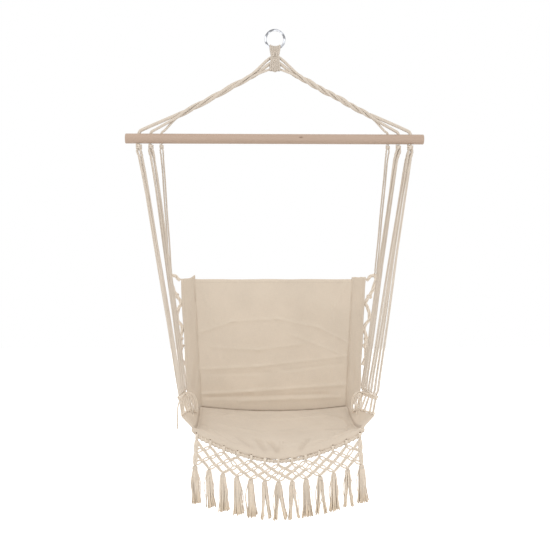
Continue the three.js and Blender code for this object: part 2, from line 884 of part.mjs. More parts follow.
const chair = new THREE.Group();
chair.add(part("steel_ring", steelRing(), steel));
chair.add(hangingParts());
chair.add(seatParts());
for (let column = 0; column < netColumns; column++) {
  const name = `tassel_${String(column + 1).padStart(2, "0")}`;
  chair.add(part(name, tassel(column), whitened));
}

export default chair;
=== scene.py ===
"""A hammock chair: cords, knots, canvas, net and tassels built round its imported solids."""

import json
import math
import random

import bmesh
import bpy
import numpy as np
from mathutils import Matrix, Vector, noise
from mathutils.bvhtree import BVHTree


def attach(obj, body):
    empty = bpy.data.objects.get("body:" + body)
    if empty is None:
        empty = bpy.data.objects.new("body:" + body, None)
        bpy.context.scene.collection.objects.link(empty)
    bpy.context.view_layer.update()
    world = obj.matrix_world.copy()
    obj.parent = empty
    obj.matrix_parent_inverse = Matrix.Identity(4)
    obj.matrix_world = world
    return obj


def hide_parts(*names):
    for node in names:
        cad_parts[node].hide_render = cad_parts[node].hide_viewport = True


bl_info = {
    "name": "Hammock Chair",
    "version": (1, 0, 0),
    "blender": (4, 5, 0),
    "location": "View3D > Sidebar > Hammock Chair",
    "description": "Builds the cords, knots, canvas, net and tassels of a hammock chair",
    "category": "Add Mesh",
}

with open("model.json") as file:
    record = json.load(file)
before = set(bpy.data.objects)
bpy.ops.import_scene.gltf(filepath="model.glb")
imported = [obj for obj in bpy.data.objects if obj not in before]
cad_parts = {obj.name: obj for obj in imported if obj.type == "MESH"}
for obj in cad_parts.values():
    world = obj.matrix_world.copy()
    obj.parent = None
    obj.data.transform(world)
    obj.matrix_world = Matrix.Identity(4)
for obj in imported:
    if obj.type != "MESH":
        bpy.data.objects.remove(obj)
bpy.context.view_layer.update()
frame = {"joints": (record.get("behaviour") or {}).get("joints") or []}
SIDES = ((-1, "left"), (1, "right"))

# Ring and collar, in metres
GAP = 0.0003
RING_BORE = 0.05
RING_WIRE = 0.007
WELD_RADIUS = 0.0011
WELD_SWELL = 0.0007
COLLAR_WAIST_WIDTH = 0.025
COLLAR_KNOT_WIDTH = 0.032
COLLAR_DEPTH = 0.020
COLLAR_WAIST_DROP = 0.020
COLLAR_KNOT_DROP = 0.046
COLLAR_DROP = 0.070
COLLAR_CORD = 0.006
COLLAR_LOOPS = 6
COLLAR_SPREAD = math.radians(29)
COLLAR_BINDING_CORD = 0.0038
COLLAR_BINDING_DROPS = (0.0235, 0.0275)
COLLAR_BINDING_TILT = 0.0012

# Bar
BAR_LENGTH = 0.9
BAR_DIAMETER = 0.03
BAR_DROP = 0.325
BAR_EDGE_ROUND = 0.003
HOLE_CLEARANCE = 0.0016
OUTER_HOLE_X = BAR_LENGTH / 2 - 0.041
MIDDLE_HOLE_X = OUTER_HOLE_X - 0.036
INNER_HOLE_X = MIDDLE_HOLE_X - 0.032
WOOD_KNOT_PLACE = (0.0775, -0.0148, -BAR_DROP + 0.0035)

# Hanging ropes
TOP_STRAND_DROP = 0.082
STRAND_EXIT_PITCH = 0.017
TWIST_RADIUS = 0.005
TWIST_START = Vector((0.066, 0, -0.134))
TWIST_END = Vector((INNER_HOLE_X - 0.045, 0, -0.259))
TURNS = {"left": 4 / 3, "right": 7 / 3}
STEPS_PER_TURN = 10
BEND_SHARES = ((1.2, 1.25), (0.45, 0.85), (0, 0.12))
STRAND_BUNDLE_SHARE = 0.85
STRAND_CORD_SHARE = 1.6
STRAND_TURNS = 0.8

# Cords under the bar
CORD_DIAMETER = 0.0076
CORNER_CORD_DIAMETER = 0.0052
FAN_DROP = 0.036
FAN_TURNS = 3
FRONT_FAN_SHARES = ((0.5, -0.5), (-0.5, -0.5), (0.5, 0.5), (-0.5, 0.5))
REAR_FAN_SHARES = ((0.5, -0.29), (-0.5, -0.29), (0, 0.58))
ROW_COUNT = len(FRONT_FAN_SHARES) + len(REAR_FAN_SHARES)

# How far each fan cord bows to the right of its straight run, from the front
FAN_BOWS = {
    "left": (0, 0, 0, 0, 0.001, 0.003, 0.008),
    "right": (0.0045, 0.002, -0.002, -0.0035, -0.0045, -0.0055, -0.0065),
}

# Seat, wings and binding
SEAT_CENTRE_Y = -0.095
SEAT_DEPTH = 0.44
SEAT_FRONT_Y = SEAT_CENTRE_Y - SEAT_DEPTH / 2
SEAT_REAR_Y = SEAT_CENTRE_Y + SEAT_DEPTH / 2
SEAT_REAR_HALF_WIDTH = 0.23
SEAT_FRONT_HALF_WIDTH = 0.235
SEAT_THICKNESS = 0.024
CORNER_FILL_SHARE = 0.42
LIP_START_SHARE = 0.8
SEAT_REAR_DROP = 1.137
SEAT_REAR_DIP = 0.014
SEAT_CORNER_DROP = 1.152
SEAT_FRONT_DIP = 0.062
SEAT_SIDE_BOWL = 0.024
SEAT_MIDDLE_BOWL = 0.012
SEAT_RIM_DROP = 0.0078
LIP_DEPTH = 0.038
LIP_REAR_Y = SEAT_FRONT_Y + LIP_DEPTH
EDGE_DROP = 1.2465
EDGE_RISE = 0.076
EDGE_POWER = 1.7
BINDING_DIAMETER = 0.009
BINDING_PUCKER = 0.00034
BINDING_CURL = (0.006, 0.016, 0.009)
BINDING_CURL_LENGTH = 0.02
WHIPPING_PITCH = 0.0116
EYELET_RADIUS = 0.0027
EYELET_HOLE_RADIUS = 0.0024
EYELET_THREAD = 0.0011
WING_REAR_X = 0.254
WING_FRONT_X = 0.267
WING_REAR_DROP = 1.153
WING_FRONT_DROP = 1.121
WING_THICKNESS = 0.007
WING_RIM_SHARE = 0.4
WING_TUCK = 0.002

# Back and its bands
BACK_TOP_DROP = 0.746
BACK_BOTTOM_DROP = 1.172
BACK_LEAN = 0.045
BACK_TOP_HALF_WIDTH = 0.248
BACK_BOTTOM_HALF_WIDTH = 0.224
BACK_THICKNESS = 0.02
BACK_HOLLOW = 0.008
HEM_STITCH_DROP = 0.013
BAND_WIDTH = 0.044
BAND_THICKNESS = 0.014
BAND_RIM_SHARE = 0.5
BAND_PEAK = 0.009
BAND_TAPER_Z = -1.095
BAND_TAPER_LENGTH = 0.05
BAND_TAPER_SHARE = 0.5
BAND_SEAM_SHARES = (0.1, 0.82)

# How the padded cloth is blown up: its grid, how far it may rise and how far its seams hold it
CLOTH_VOXEL = 0.005
CLOTH_FRAMES = 20
BACK_CAP = 0.005
SEAT_CAP = 0.006
HELD_RIM = 0.006
CLOTH_LOOKS = {
    "quality": 5,
    "mass": 0.3,
    "tension_stiffness": 18,
    "compression_stiffness": 12,
    "bending_stiffness": 0.6,
    "use_pressure": True,
    "uniform_pressure_force": 4.0,
}

# How firmly folds are pressed into the back and the seat, and how wide the painted shade along their
# seams is
BACK_FOLD_SHARE = 1.25
SEAT_FOLD_SHARE = 1.5
THIN_SEAM_SHADE = 0.0013
SIDE_SEAM_SHADE = 0.002

# The folds of the back, seen from the front: start, end, width and depth
BACK_FOLDS = (
    ((-0.236, -0.918), (-0.129, -0.881), 0.0050, 0.0009),
    ((-0.129, -0.881), (0.010, -0.873), 0.0050, 0.0010),
    ((0.010, -0.873), (0.137, -0.899), 0.0050, 0.0010),
    ((0.137, -0.899), (0.240, -0.950), 0.0055, 0.0009),
    ((-0.186, -0.962), (-0.049, -0.970), 0.0060, 0.0009),
    ((-0.049, -0.970), (0.088, -0.952), 0.0060, 0.0009),
    ((0.060, -0.925), (0.215, -0.985), 0.0050, 0.0008),
    ((-0.232, -1.030), (-0.049, -1.022), 0.0055, 0.0012),
    ((-0.049, -1.022), (0.225, -0.990), 0.0055, 0.0012),
    ((-0.210, -1.046), (-0.020, -1.040), 0.0060, -0.0009),
    ((0.030, -1.035), (0.220, -1.012), 0.0055, -0.0008),
    ((-0.226, -1.107), (-0.073, -1.099), 0.0055, 0.0016),
    ((-0.073, -1.099), (0.222, -1.079), 0.0060, 0.0016),
    ((-0.20, -1.118), (0.16, -1.108), 0.0060, -0.0016),
    ((-0.10, -1.129), (0.20, -1.118), 0.0060, 0.0012),
    ((-0.205, -0.80), (-0.170, -1.02), 0.0090, 0.0009),
    ((0.205, -0.82), (0.178, -1.05), 0.0090, 0.0010),
    ((0.232, -0.76), (0.190, -0.84), 0.0060, 0.0009),
    ((-0.237, -0.76), (-0.205, -0.83), 0.0060, 0.0008),
)

# The folds of the seat, seen from above: start, end, width and lift
SEAT_FOLDS = (
    ((-0.055, -0.205), (-0.040, -0.285), 0.0085, -0.0030),
    ((-0.020, -0.225), (-0.004, -0.292), 0.0070, -0.0032),
    ((0.012, -0.230), (0.008, -0.296), 0.0060, 0.0024),
    ((0.085, -0.215), (0.064, -0.290), 0.0080, -0.0028),
    ((-0.110, -0.200), (-0.078, -0.280), 0.0100, -0.0020),
    ((0.160, -0.120), (0.205, -0.175), 0.0100, -0.0020),
    ((-0.190, 0.060), (-0.120, 0.020), 0.0120, 0.0014),
    ((-0.215, -0.245), (-0.090, -0.262), 0.0100, 0.0022),
    ((0.215, -0.240), (0.100, -0.258), 0.0100, 0.0020),
    ((-0.120, 0.080), (0.130, 0.095), 0.0090, 0.0014),
    ((-0.040, 0.020), (0.150, 0.040), 0.0110, 0.0012),
    ((-0.160, -0.060), (-0.020, -0.120), 0.0130, 0.0014),
    ((0.030, -0.100), (0.170, -0.060), 0.0130, 0.0013),
)

# Side macrame: its row of knots, and under some of them doubled legs that lean by half a pitch
ROW_REAR_DROP = 1.1
ROW_FRONT_DROP = 1.075
ROW_REAR_X = 0.276
ROW_FRONT_X = 0.271
ROW_END_INSET = 0.035
ROW_KNOT = 0.015
ROW_PITCH = (SEAT_DEPTH - 2 * ROW_END_INSET) / (ROW_COUNT - 1)
HEM_DIAMETER = 0.006
MACRAME_CORD = 0.0042
MACRAME_HEAVY_CORD = 0.0052
ROW_SPREAD = 0.0022
LEG_SPREAD = 0.0024
LOOP_HALF_SPREAD = 0.0021
LEG_RANKS = (0, 1.4, 3, 4.5, 6)
LEG_LEANS = (0.4, -0.3, 0.2, -0.5, 0.3)

# Lacing beside the back
LACE_DIAMETER = 0.0064
LACE_KNOT = 0.015
LACE_KNOT_CORD = 0.006
LACE_REACH = 0.032
LACE_TOP_STOP = 2
LACE_KNOT_STOPS = (2, 4, 9, 10)
LACE_HEIGHT_SHARES = (0.985, 1.02, 1.01, 0.92, 0.87, 0.82, 0.77, 0.7, 0.64, 0.56, 0.5, 0.43, 0.36)
LACE_OUT_SHARES = (0, 0.45, 1, 0.66, 0.36, 0, 0.3, 0.44, 0, 0.22, 0.17, 0.25, 0)

# Net
NET_COLUMNS = 13
NET_ROWS = 4
NET_KNOT = 0.0096
NET_TOP_HALF_WIDTH = 0.224
NET_BOTTOM_HALF_WIDTH = 0.2286
NET_DROP = 1.3
NET_RISE = 0.046
NET_POWER = 1.6
NET_TIGHT_SPREAD = (0.0021, 0.0024)
NET_OPEN_SPREAD = (0.0036, 0.0048)
NET_SIDE_CORDS = 7
NET_SIDE_RADIUS = 0.0046

# Tassels from the left: how far the middle of the foot lies to the side of the knot, and half the
# foot's width
TASSEL_LENGTH = 0.107
TASSEL_LEANS = (
    0.009, 0.010, 0.006, 0.011, 0.010, 0.007, 0.010, 0.010, 0.010, 0.006, 0.005, 0.005, 0.008,
)
TASSEL_FEET = (
    0.0125, 0.0135, 0.014, 0.015, 0.0145, 0.013, 0.0175, 0.0145, 0.016, 0.0145, 0.0145, 0.013, 0.0145,
)
SPLIT_TASSELS = (5, 6, 7, 9, 11)

# How wide a tassel is, as a share of its foot's width, at shares of its length
TASSEL_DROPS = (0, 0.03, 0.085, 0.15, 0.3, 0.7, 1)
TASSEL_WIDTHS = (0.26, 0.43, 0.43, 0.54, 0.58, 0.68, 1)

# The winding round a tassel's neck, and the shape of a yarn: its lay in diameters, the distance
# between its rings and the depth of its valleys
NECK_RADIUS = 0.0064
NECK_CORD = 0.003
YARN_LAY = 8
YARN_STEP = 0.0048
YARN_PLY_DEPTH = 0.12

# Places worked out from those sizes
RING_RADIUS = (RING_BORE + RING_WIRE) / 2
RING_CENTRE_Z = -RING_BORE / 2
SWING_Z = RING_CENTRE_Z - RING_RADIUS
BAR_TOP_Z = -BAR_DROP + BAR_DIAMETER / 2
SEAT_JOINT = next(joint for joint in frame["joints"] if joint["name"] == "seat_swing")
KNOT_LINE_Z = SEAT_JOINT["pos_m"][2]

UP = Vector((0, 0, 1))
RIGHT = Vector((1, 0, 0))
BACKWARDS = Vector((0, 1, 0))

# The holes of one end of the bar, outermost first: the strand's size, its knot and how many cords
# the strand is made of
HOLES = (
    {"name": "outer", "x": OUTER_HOLE_X, "strand": 0.0096, "knot": 0.021, "cords": 5},
    {"name": "middle", "x": MIDDLE_HOLE_X, "strand": 0.008, "knot": 0.018, "cords": 4},
    {"name": "inner", "x": INNER_HOLE_X, "strand": 0.0064, "knot": 0.0145, "cords": 3},
)


# Settings that a user would change


def length_setting(name, description, default):
    """A length among the settings."""
    return bpy.props.FloatProperty(
        name=name, description=description, default=default, unit="LENGTH"
    )


def power_setting(name, description, default):
    """A lamp's power among the settings."""
    return bpy.props.FloatProperty(name=name, description=description, default=default, unit="POWER")


def colour_setting(name, description, default):
    """A colour among the settings."""
    return bpy.props.FloatVectorProperty(
        name=name, description=description, default=default, size=3, min=0, max=1, subtype="COLOR"
    )


class CordSettings(bpy.types.PropertyGroup):
    """Sizes and colours of the cords and yarns"""

    lay_share: bpy.props.FloatProperty(
        name="Lay",
        description="Length of one turn of a cord's plies, in diameters",
        default=6,
        min=1.5,
        max=12,
    )
    ply_depth_share: bpy.props.FloatProperty(
        name="Ply Depth",
        description="Depth of the valleys between plies, as a share of a cord's radius",
        default=0.04,
        min=0,
        max=0.5,
        subtype="FACTOR",
    )
    net_cord: length_setting("Net Cord", "Diameter of one cord of the net", 0.0048)
    tassel_yarn: length_setting("Tassel Yarn", "Diameter of one yarn of a tassel", 0.0025)
    tassel_yarns: bpy.props.IntProperty(
        name="Yarns", description="Yarns in one tassel", default=54, min=8, max=120
    )
    rope_colour: colour_setting(
        "Rope Colour", "Colour of the hanging ropes and fan cords", (0.70, 0.613, 0.518)
    )
    knotted_colour: colour_setting(
        "Knotted Cord Colour", "Colour of the net, the tassels and the side macrame",
        (0.775, 0.675, 0.56),
    )


class ClothSettings(bpy.types.PropertyGroup):
    """Sizes and colours of the canvas"""

    yarn_pitch: length_setting("Yarn Pitch", "Distance between the yarns of the canvas", 0.0011)
    stitch_pitch: length_setting("Stitch Pitch", "Distance between the stitches of a seam", 0.0045)
    stitch_width: length_setting("Stitch Width", "Width of the sewing thread", 0.0007)
    canvas_colour: colour_setting(
        "Canvas Colour", "Colour of the seat and the back", (0.645, 0.553, 0.45)
    )


class HardwareSettings(bpy.types.PropertyGroup):
    """Colours of the bar and the ring"""

    wood_colour: colour_setting(
        "Wood Colour", "Colour of the bar between its grain lines", (0.50, 0.372, 0.288)
    )
    grain_colour: colour_setting(
        "Grain Colour", "Colour of the bar's grain lines", (0.43, 0.305, 0.226)
    )
    steel_colour: colour_setting("Steel Colour", "Colour of the ring", (0.52, 0.53, 0.56))


class StageSettings(bpy.types.PropertyGroup):
    """Places and strengths of the camera, lamps and floor"""

    camera_distance: length_setting(
        "Camera Distance", "Distance of the camera in front of the bar", 3.5
    )
    camera_height: length_setting(
        "Camera Height", "Height of the camera from the ring's bore", -0.735
    )
    view_width: length_setting("View Width", "Width of the view at the bar", 1.658)
    camera_turn: bpy.props.FloatProperty(
        name="Camera Turn",
        description="How far the camera stands to the left of straight ahead",
        default=math.radians(1.7),
        subtype="ANGLE",
    )
    floor_drop: length_setting("Floor Drop", "Distance of the floor under the ring's bore", 1.72)
    key_power: power_setting("Key Power", "Power of the large lamp at the front left", 14)
    fill_power: power_setting("Fill Power", "Power of the large lamp at the front right", 8.5)
    sky_strength: bpy.props.FloatProperty(
        name="Sky Strength",
        description="Strength of the soft light from all round",
        default=1.1,
        min=0,
        max=2,
    )


# Curves and places


def mix(start, end, share):
    """The value that share of the way from start to end has."""
    return start + (end - start) * share


def within(value, top=1):
    """A value kept between 0 and top."""
    return min(top, max(0.0, value))


def shares(count):
    """The shares from 0 to 1 at the ends of count even steps."""
    return [step / count for step in range(count + 1)]


def circle(count):
    """The cosines and sines of count even steps round a full turn."""
    angles = [2 * math.pi * step / count for step in range(count)]
    return [(math.cos(angle), math.sin(angle)) for angle in angles]


def smooth_route(points, per_span):
    """Points on a smooth curve that runs through the given ones."""
    points = [Vector(spot) for spot in points]
    before = 2 * points[0] - points[1]
    after = 2 * points[-1] - points[-2]
    ends = [before, *points, after]
    route = []
    for a, b, c, d in zip(ends, ends[1:], ends[2:], ends[3:]):
        at_b = math.sqrt((b - a).length)
        at_c = at_b + math.sqrt((c - b).length)
        at_d = at_c + math.sqrt((d - c).length)
        for step in range(per_span):
            at = mix(at_b, at_c, step / per_span)
            ab = a.lerp(b, at / at_b)
            bc = b.lerp(c, (at - at_b) / (at_c - at_b))
            cd = c.lerp(d, (at - at_c) / (at_d - at_c))
            abc = ab.lerp(bc, at / at_c)
            bcd = bc.lerp(cd, (at - at_b) / (at_d - at_b))
            route.append(abc.lerp(bcd, (at - at_b) / (at_c - at_b)))
    route.append(points[-1])
    return route


def frames_along(route):
    """Two directions square to the route at each point, which turn as little as they can."""
    last = len(route) - 1
    tangents = [
        (route[min(index + 1, last)] - route[max(index - 1, 0)]).normalized()
        for index in range(len(route))
    ]
    first = UP if abs(tangents[0].z) < 0.8 else RIGHT
    normal = (first - tangents[0] * first.dot(tangents[0])).normalized()
    frames = []
    for tangent in tangents:
        normal = (normal - tangent * normal.dot(tangent)).normalized()
        frames.append((normal, tangent.cross(normal)))
    return frames


def bundled_cord(count, diameter):
    """The diameter of each of count cords that fill a strand of that diameter."""
    return diameter / (1 + 1 / math.sin(math.pi / count))


def bundle(route, count, diameter, turns):
    """Routes of count cords that lie together in a strand of that diameter and turn round it."""
    radius = (diameter - bundled_cord(count, diameter)) / 2
    frames = frames_along(route)
    routes = []
    for number in range(count):
        cord = []
        for spot, (normal, beside), share in zip(route, frames, shares(len(route) - 1)):
            angle = 2 * math.pi * (number / count + turns * share)
            cord.append(spot + radius * (math.cos(angle) * normal + math.sin(angle) * beside))
        routes.append(cord)
    return routes


def helix(centre, radius, pitch, turns, axis=UP):
    """A winding round an axis, centred on centre."""
    axis = axis.normalized()
    across = (BACKWARDS if abs(axis.y) < 0.8 else RIGHT).cross(axis).normalized()
    beside = axis.cross(across)
    route = []
    for share in shares(max(8, round(18 * turns))):
        angle = 2 * math.pi * turns * share
        around = math.cos(angle) * across + math.sin(angle) * beside
        route.append(centre + radius * around + axis * pitch * turns * (share - 0.5))
    return route


def overhand(centre, size, thickness, right, up, turn=0.0):
    """A closed overhand knot that fills size across and lies in the plane of right and up."""
    out = right.cross(up)
    reach = (size - thickness) / 2 / 3
    route = []
    for share in shares(40):
        angle = 2 * math.pi * share
        x = math.sin(angle) + 2 * math.sin(2 * angle)
        y = math.cos(angle) - 2 * math.cos(2 * angle)
        z = -math.sin(3 * angle)
        across = x * math.cos(turn) - y * math.sin(turn)
        rise = x * math.sin(turn) + y * math.cos(turn)
        route.append(centre + reach * (across * right + rise * up) + 0.62 * thickness * z * out)
    return route


def strand_route(side, order, turns):
    """The way of a strand from the collar round its rope's twist and out to its hole."""
    hole = HOLES[order]
    exit_rank = (1, 0, 2)[order]
    exit_z = -TOP_STRAND_DROP - exit_rank * STRAND_EXIT_PITCH
    exit_x = COLLAR_KNOT_WIDTH / 2 + GAP
    strand = hole["strand"]
    points = [Vector((exit_x - strand, 0, exit_z + strand / 3)), Vector((exit_x, 0, exit_z))]
    along = (TWIST_END - TWIST_START).normalized()
    up = Vector((-along.z, 0, along.x))
    steps = round(turns * STEPS_PER_TURN)
    last_phase = math.pi / 2 + order * 2 * math.pi / 3
    for step in range(steps + 1):
        phase = last_phase - 2 * math.pi * turns * (1 - step / steps)
        spot = TWIST_START.lerp(TWIST_END, step / steps) + TWIST_RADIUS * math.sin(phase) * up
        spot.y += TWIST_RADIUS * math.cos(phase)
        points.append(spot)
    for short_share, above_share in BEND_SHARES:
        x = hole["x"] - short_share * strand
        points.append(Vector((x, 0, BAR_TOP_Z + above_share * strand)))
    points.append(Vector((hole["x"], 0, BAR_TOP_Z - strand)))
    points.append(Vector((hole["x"], 0, KNOT_LINE_Z + hole["knot"] / 2 + GAP)))
    return [Vector((side * spot.x, spot.y, spot.z)) for spot in points]


def row_place(side, rank):
    """The knot of the side row that a cord runs to, counted from the front."""
    share = rank / (ROW_COUNT - 1)
    y = mix(SEAT_FRONT_Y + ROW_END_INSET, SEAT_REAR_Y - ROW_END_INSET, share)
    z = -mix(ROW_FRONT_DROP, ROW_REAR_DROP, share)
    return Vector((side * mix(ROW_FRONT_X, ROW_REAR_X, share), y, z))


def fan_route(side, hole, offset, cord, target, target_diameter):
    """A cord that leaves its stopper knot squarely and runs straight to its knot below."""
    knot = Vector((side * hole["x"], 0, KNOT_LINE_Z))
    radius = hole["knot"] / 2 + GAP
    angle = offset.length / radius
    out = offset.normalized() * math.sin(angle) - UP * math.cos(angle)
    run = (target - knot).normalized()
    free = knot + run * FAN_DROP + offset
    arrival = (target - free).normalized()
    end = target - arrival * (target_diameter / 2 + GAP)
    before_end = end - arrival * 2 * cord
    start = knot + out * radius * 0.8
    points = [start, knot + out * (radius + cord / 2), free, before_end, end]
    return smooth_route(points, 8)


def back_place(width, height):
    """The middle of the back's cloth and the way its thickness points."""
    top_y = SEAT_REAR_Y + BACK_LEAN
    way = Vector((0, BACK_TOP_DROP - BACK_BOTTOM_DROP, -BACK_LEAN)).normalized()
    foot_y = SEAT_REAR_Y + GAP + BACK_THICKNESS / 2
    hollow = BACK_HOLLOW * (1 - width * width) * math.sin(math.pi * within(height))
    x = width * mix(BACK_BOTTOM_HALF_WIDTH, BACK_TOP_HALF_WIDTH, height)
    z = mix(-BACK_BOTTOM_DROP, -BACK_TOP_DROP, height)
    return Vector((x, mix(foot_y, top_y, height) + hollow, z)), way


def edge_z(x):
    """The height of the seat's front edge, which hangs in a curve."""
    return -EDGE_DROP + EDGE_RISE * (abs(x) / SEAT_FRONT_HALF_WIDTH) ** EDGE_POWER


def above_edge(x, distance):
    """A point straight above the front edge, at a distance measured square to it."""
    share = abs(x) / SEAT_FRONT_HALF_WIDTH
    slope = EDGE_POWER * EDGE_RISE / SEAT_FRONT_HALF_WIDTH * share ** (EDGE_POWER - 1)
    return Vector((x, SEAT_FRONT_Y, edge_z(x) + distance * math.hypot(1, slope)))


def seat_half_width(y):
    """Half the seat's width at that depth."""
    return mix(SEAT_REAR_HALF_WIDTH, SEAT_FRONT_HALF_WIDTH, (SEAT_REAR_Y - y) / SEAT_DEPTH)


def seat_profile(width, length, half):
    """The depth and height of the seat's middle cloth, level at first and rolled over in front."""
    dip = 1 - width * width
    rear_z = -SEAT_REAR_DROP - half - SEAT_REAR_DIP * dip
    crest_z = -SEAT_CORNER_DROP - half - SEAT_FRONT_DIP * dip
    if length < LIP_START_SHARE:
        run = length / LIP_START_SHARE
        sag = mix(SEAT_SIDE_BOWL, SEAT_MIDDLE_BOWL, dip) * math.sin(math.pi * run)
        return mix(SEAT_REAR_Y, LIP_REAR_Y, run), mix(rear_z, crest_z, run) - sag
    rim_z = above_edge(width * SEAT_FRONT_HALF_WIDTH, BINDING_DIAMETER / 2 + GAP).z
    turn = math.pi / 2 * (length - LIP_START_SHARE) / (1 - LIP_START_SHARE)
    return SEAT_FRONT_Y + LIP_DEPTH * (1 - math.sin(turn)), mix(rim_z, crest_z, math.cos(turn))


def seat_place(width, length):
    """The middle of the seat's cloth, the way its thickness points and how far it is filled."""
    fill = mix(1, CORNER_FILL_SHARE, width**4 * length * length)
    half = SEAT_THICKNESS / 2 * fill
    y, z = seat_profile(width, length, half)
    nudge = 0.0002
    ahead = seat_profile(width, min(1, length + nudge), half)
    behind = seat_profile(width, max(0, length - nudge), half)
    way = Vector((0, ahead[1] - behind[1], behind[0] - ahead[0])).normalized()
    return Vector((width * seat_half_width(y), y, z)), way, fill


def seat_side_z(y):
    """The height of the cloth's middle along the seat's sides."""
    run = within((SEAT_REAR_Y - y) / (SEAT_DEPTH - LIP_DEPTH))
    return seat_place(1, run * LIP_START_SHARE)[0].z


def wing_top(side, y):
    """The top of the seat's raised side edge."""
    share = (SEAT_REAR_Y - y) / SEAT_DEPTH
    z = -mix(WING_REAR_DROP, WING_FRONT_DROP, share)
    return Vector((side * mix(WING_REAR_X, WING_FRONT_X, share), y, z))


def lace_route(side):
    """The lacing's stops down the side of the back."""
    beside = BAND_WIDTH + 2 * GAP + LACE_DIAMETER / 2
    points = []
    for height_share, out_share in zip(LACE_HEIGHT_SHARES, LACE_OUT_SHARES):
        edge, _ = back_place(1, height_share)
        points.append(Vector((side * (edge.x + beside + out_share * LACE_REACH), edge.y, edge.z)))
    points[LACE_TOP_STOP] = lace_top(side)
    return points


def lace_top(side):
    """The knot where the cords from the inner hole meet the lacing."""
    outside = BACK_TOP_HALF_WIDTH + BAND_WIDTH + LACE_REACH
    return Vector((side * outside, back_place(0, 1)[0].y, -BACK_TOP_DROP + LACE_KNOT / 2))


def net_count(row):
    """How many knots a row of the net has."""
    return NET_COLUMNS if row % 2 == 0 else NET_COLUMNS - 1


def net_place(row, column):
    """A knot of the net: rows run down from the binding to the tassels."""
    inset = 0 if row % 2 == 0 else 0.5
    across = 2 * (column + inset) / (NET_COLUMNS - 1) - 1
    down = row / NET_ROWS
    x = across * mix(NET_TOP_HALF_WIDTH, NET_BOTTOM_HALF_WIDTH, down)
    top = above_edge(x, -BINDING_DIAMETER / 2 - GAP - NET_KNOT / 2)
    bottom_z = -NET_DROP + NET_RISE * abs(across) ** NET_POWER
    return Vector((x, SEAT_FRONT_Y, mix(top.z, bottom_z, down)))


# Node trees


class Tree:
    """Adds nodes to a node tree and links them."""

    def __init__(self, tree):
        self.tree = tree

    def add(self, kind, values=None, **settings):
        """A new node, with values or links on its inputs."""
        node = self.tree.nodes.new(kind)
        for key, value in settings.items():
            setattr(node, key, value)
        for key, value in (values or {}).items():
            self.put(node.inputs[key], value)
        return node

    def put(self, socket, value):
        """A link or a plain value on a socket."""
        if isinstance(value, bpy.types.NodeSocket):
            self.tree.links.new(value, socket)
        else:
            socket.default_value = value

    def math(self, operation, *values):
        """The result of a Math node."""
        kind = "ShaderNodeMath"
        return self.add(kind, dict(enumerate(values)), operation=operation).outputs[0]

    def many(self, operation, first, *rest):
        """The result of one operation on many values, from the first to the last."""
        for value in rest:
            first = self.math(operation, first, value)
        return first

    def clamped(self, value, top=1.0):
        """A value kept between 0 and top."""
        return self.math("MAXIMUM", self.math("MINIMUM", value, top), 0.0)

    def blend(self, factor, start, end, kind="MIX"):
        """The result of mixing two colours."""
        node = self.add("ShaderNodeMix", {0: factor, 6: start, 7: end}, data_type="RGBA")
        node.blend_type = kind
        return node.outputs[2]

    def noise(self, place, scale, detail=2.0, **values):
        """The value of a noise texture."""
        wanted = {"Vector": place, "Scale": scale, "Detail": detail, **values}
        return self.add("ShaderNodeTexNoise", wanted).outputs[0]

    def stretched(self, place, by):
        """A place with each of its parts multiplied."""
        return self.add("ShaderNodeVectorMath", {0: place, 1: by}, operation="MULTIPLY").outputs[0]

    def ranged(self, value, start, end, low=0.0, high=1.0):
        """A value between start and end, moved between low and high."""
        wanted = {"Value": value, "From Min": start, "From Max": end, "To Min": low, "To Max": high}
        return self.add("ShaderNodeMapRange", wanted).outputs[0]

    def place(self):
        """The place of a point on its object."""
        return self.add("ShaderNodeTexCoord").outputs["Object"]

    def flat(self, uv_map):
        """The place of a point on a UV map."""
        return self.add("ShaderNodeUVMap", uv_map=uv_map).outputs[0]

    def relief(self, height, strength, distance, **values):
        """The normals of a surface that has that relief."""
        wanted = {"Height": height, "Strength": strength, "Distance": distance, **values}
        return self.add("ShaderNodeBump", wanted).outputs[0]


def new_group(name, kind, inputs, outputs):
    """A node group with named sockets: its helper, its given values and its last node."""
    group = bpy.data.node_groups.new(name, kind)
    for label, socket, default in inputs:
        made = group.interface.new_socket(label, in_out="INPUT", socket_type=socket)
        if default is not None:
            made.default_value = default
    for label, socket in outputs:
        group.interface.new_socket(label, in_out="OUTPUT", socket_type=socket)
    tree = Tree(group)
    return tree, tree.add("NodeGroupInput").outputs, tree.add("NodeGroupOutput")


def end_tree(tree, result, mesh, material):
    """Ends a geometry tree with a real, smooth mesh of that material."""
    realized = tree.add("GeometryNodeRealizeInstances", {"Geometry": mesh})
    smooth = tree.add("GeometryNodeSetShadeSmooth", {"Geometry": realized.outputs[0]})
    dressed = {"Geometry": smooth.outputs[0], "Material": material}
    tree.put(result.inputs[0], tree.add("GeometryNodeSetMaterial", dressed).outputs[0])
    return tree.tree


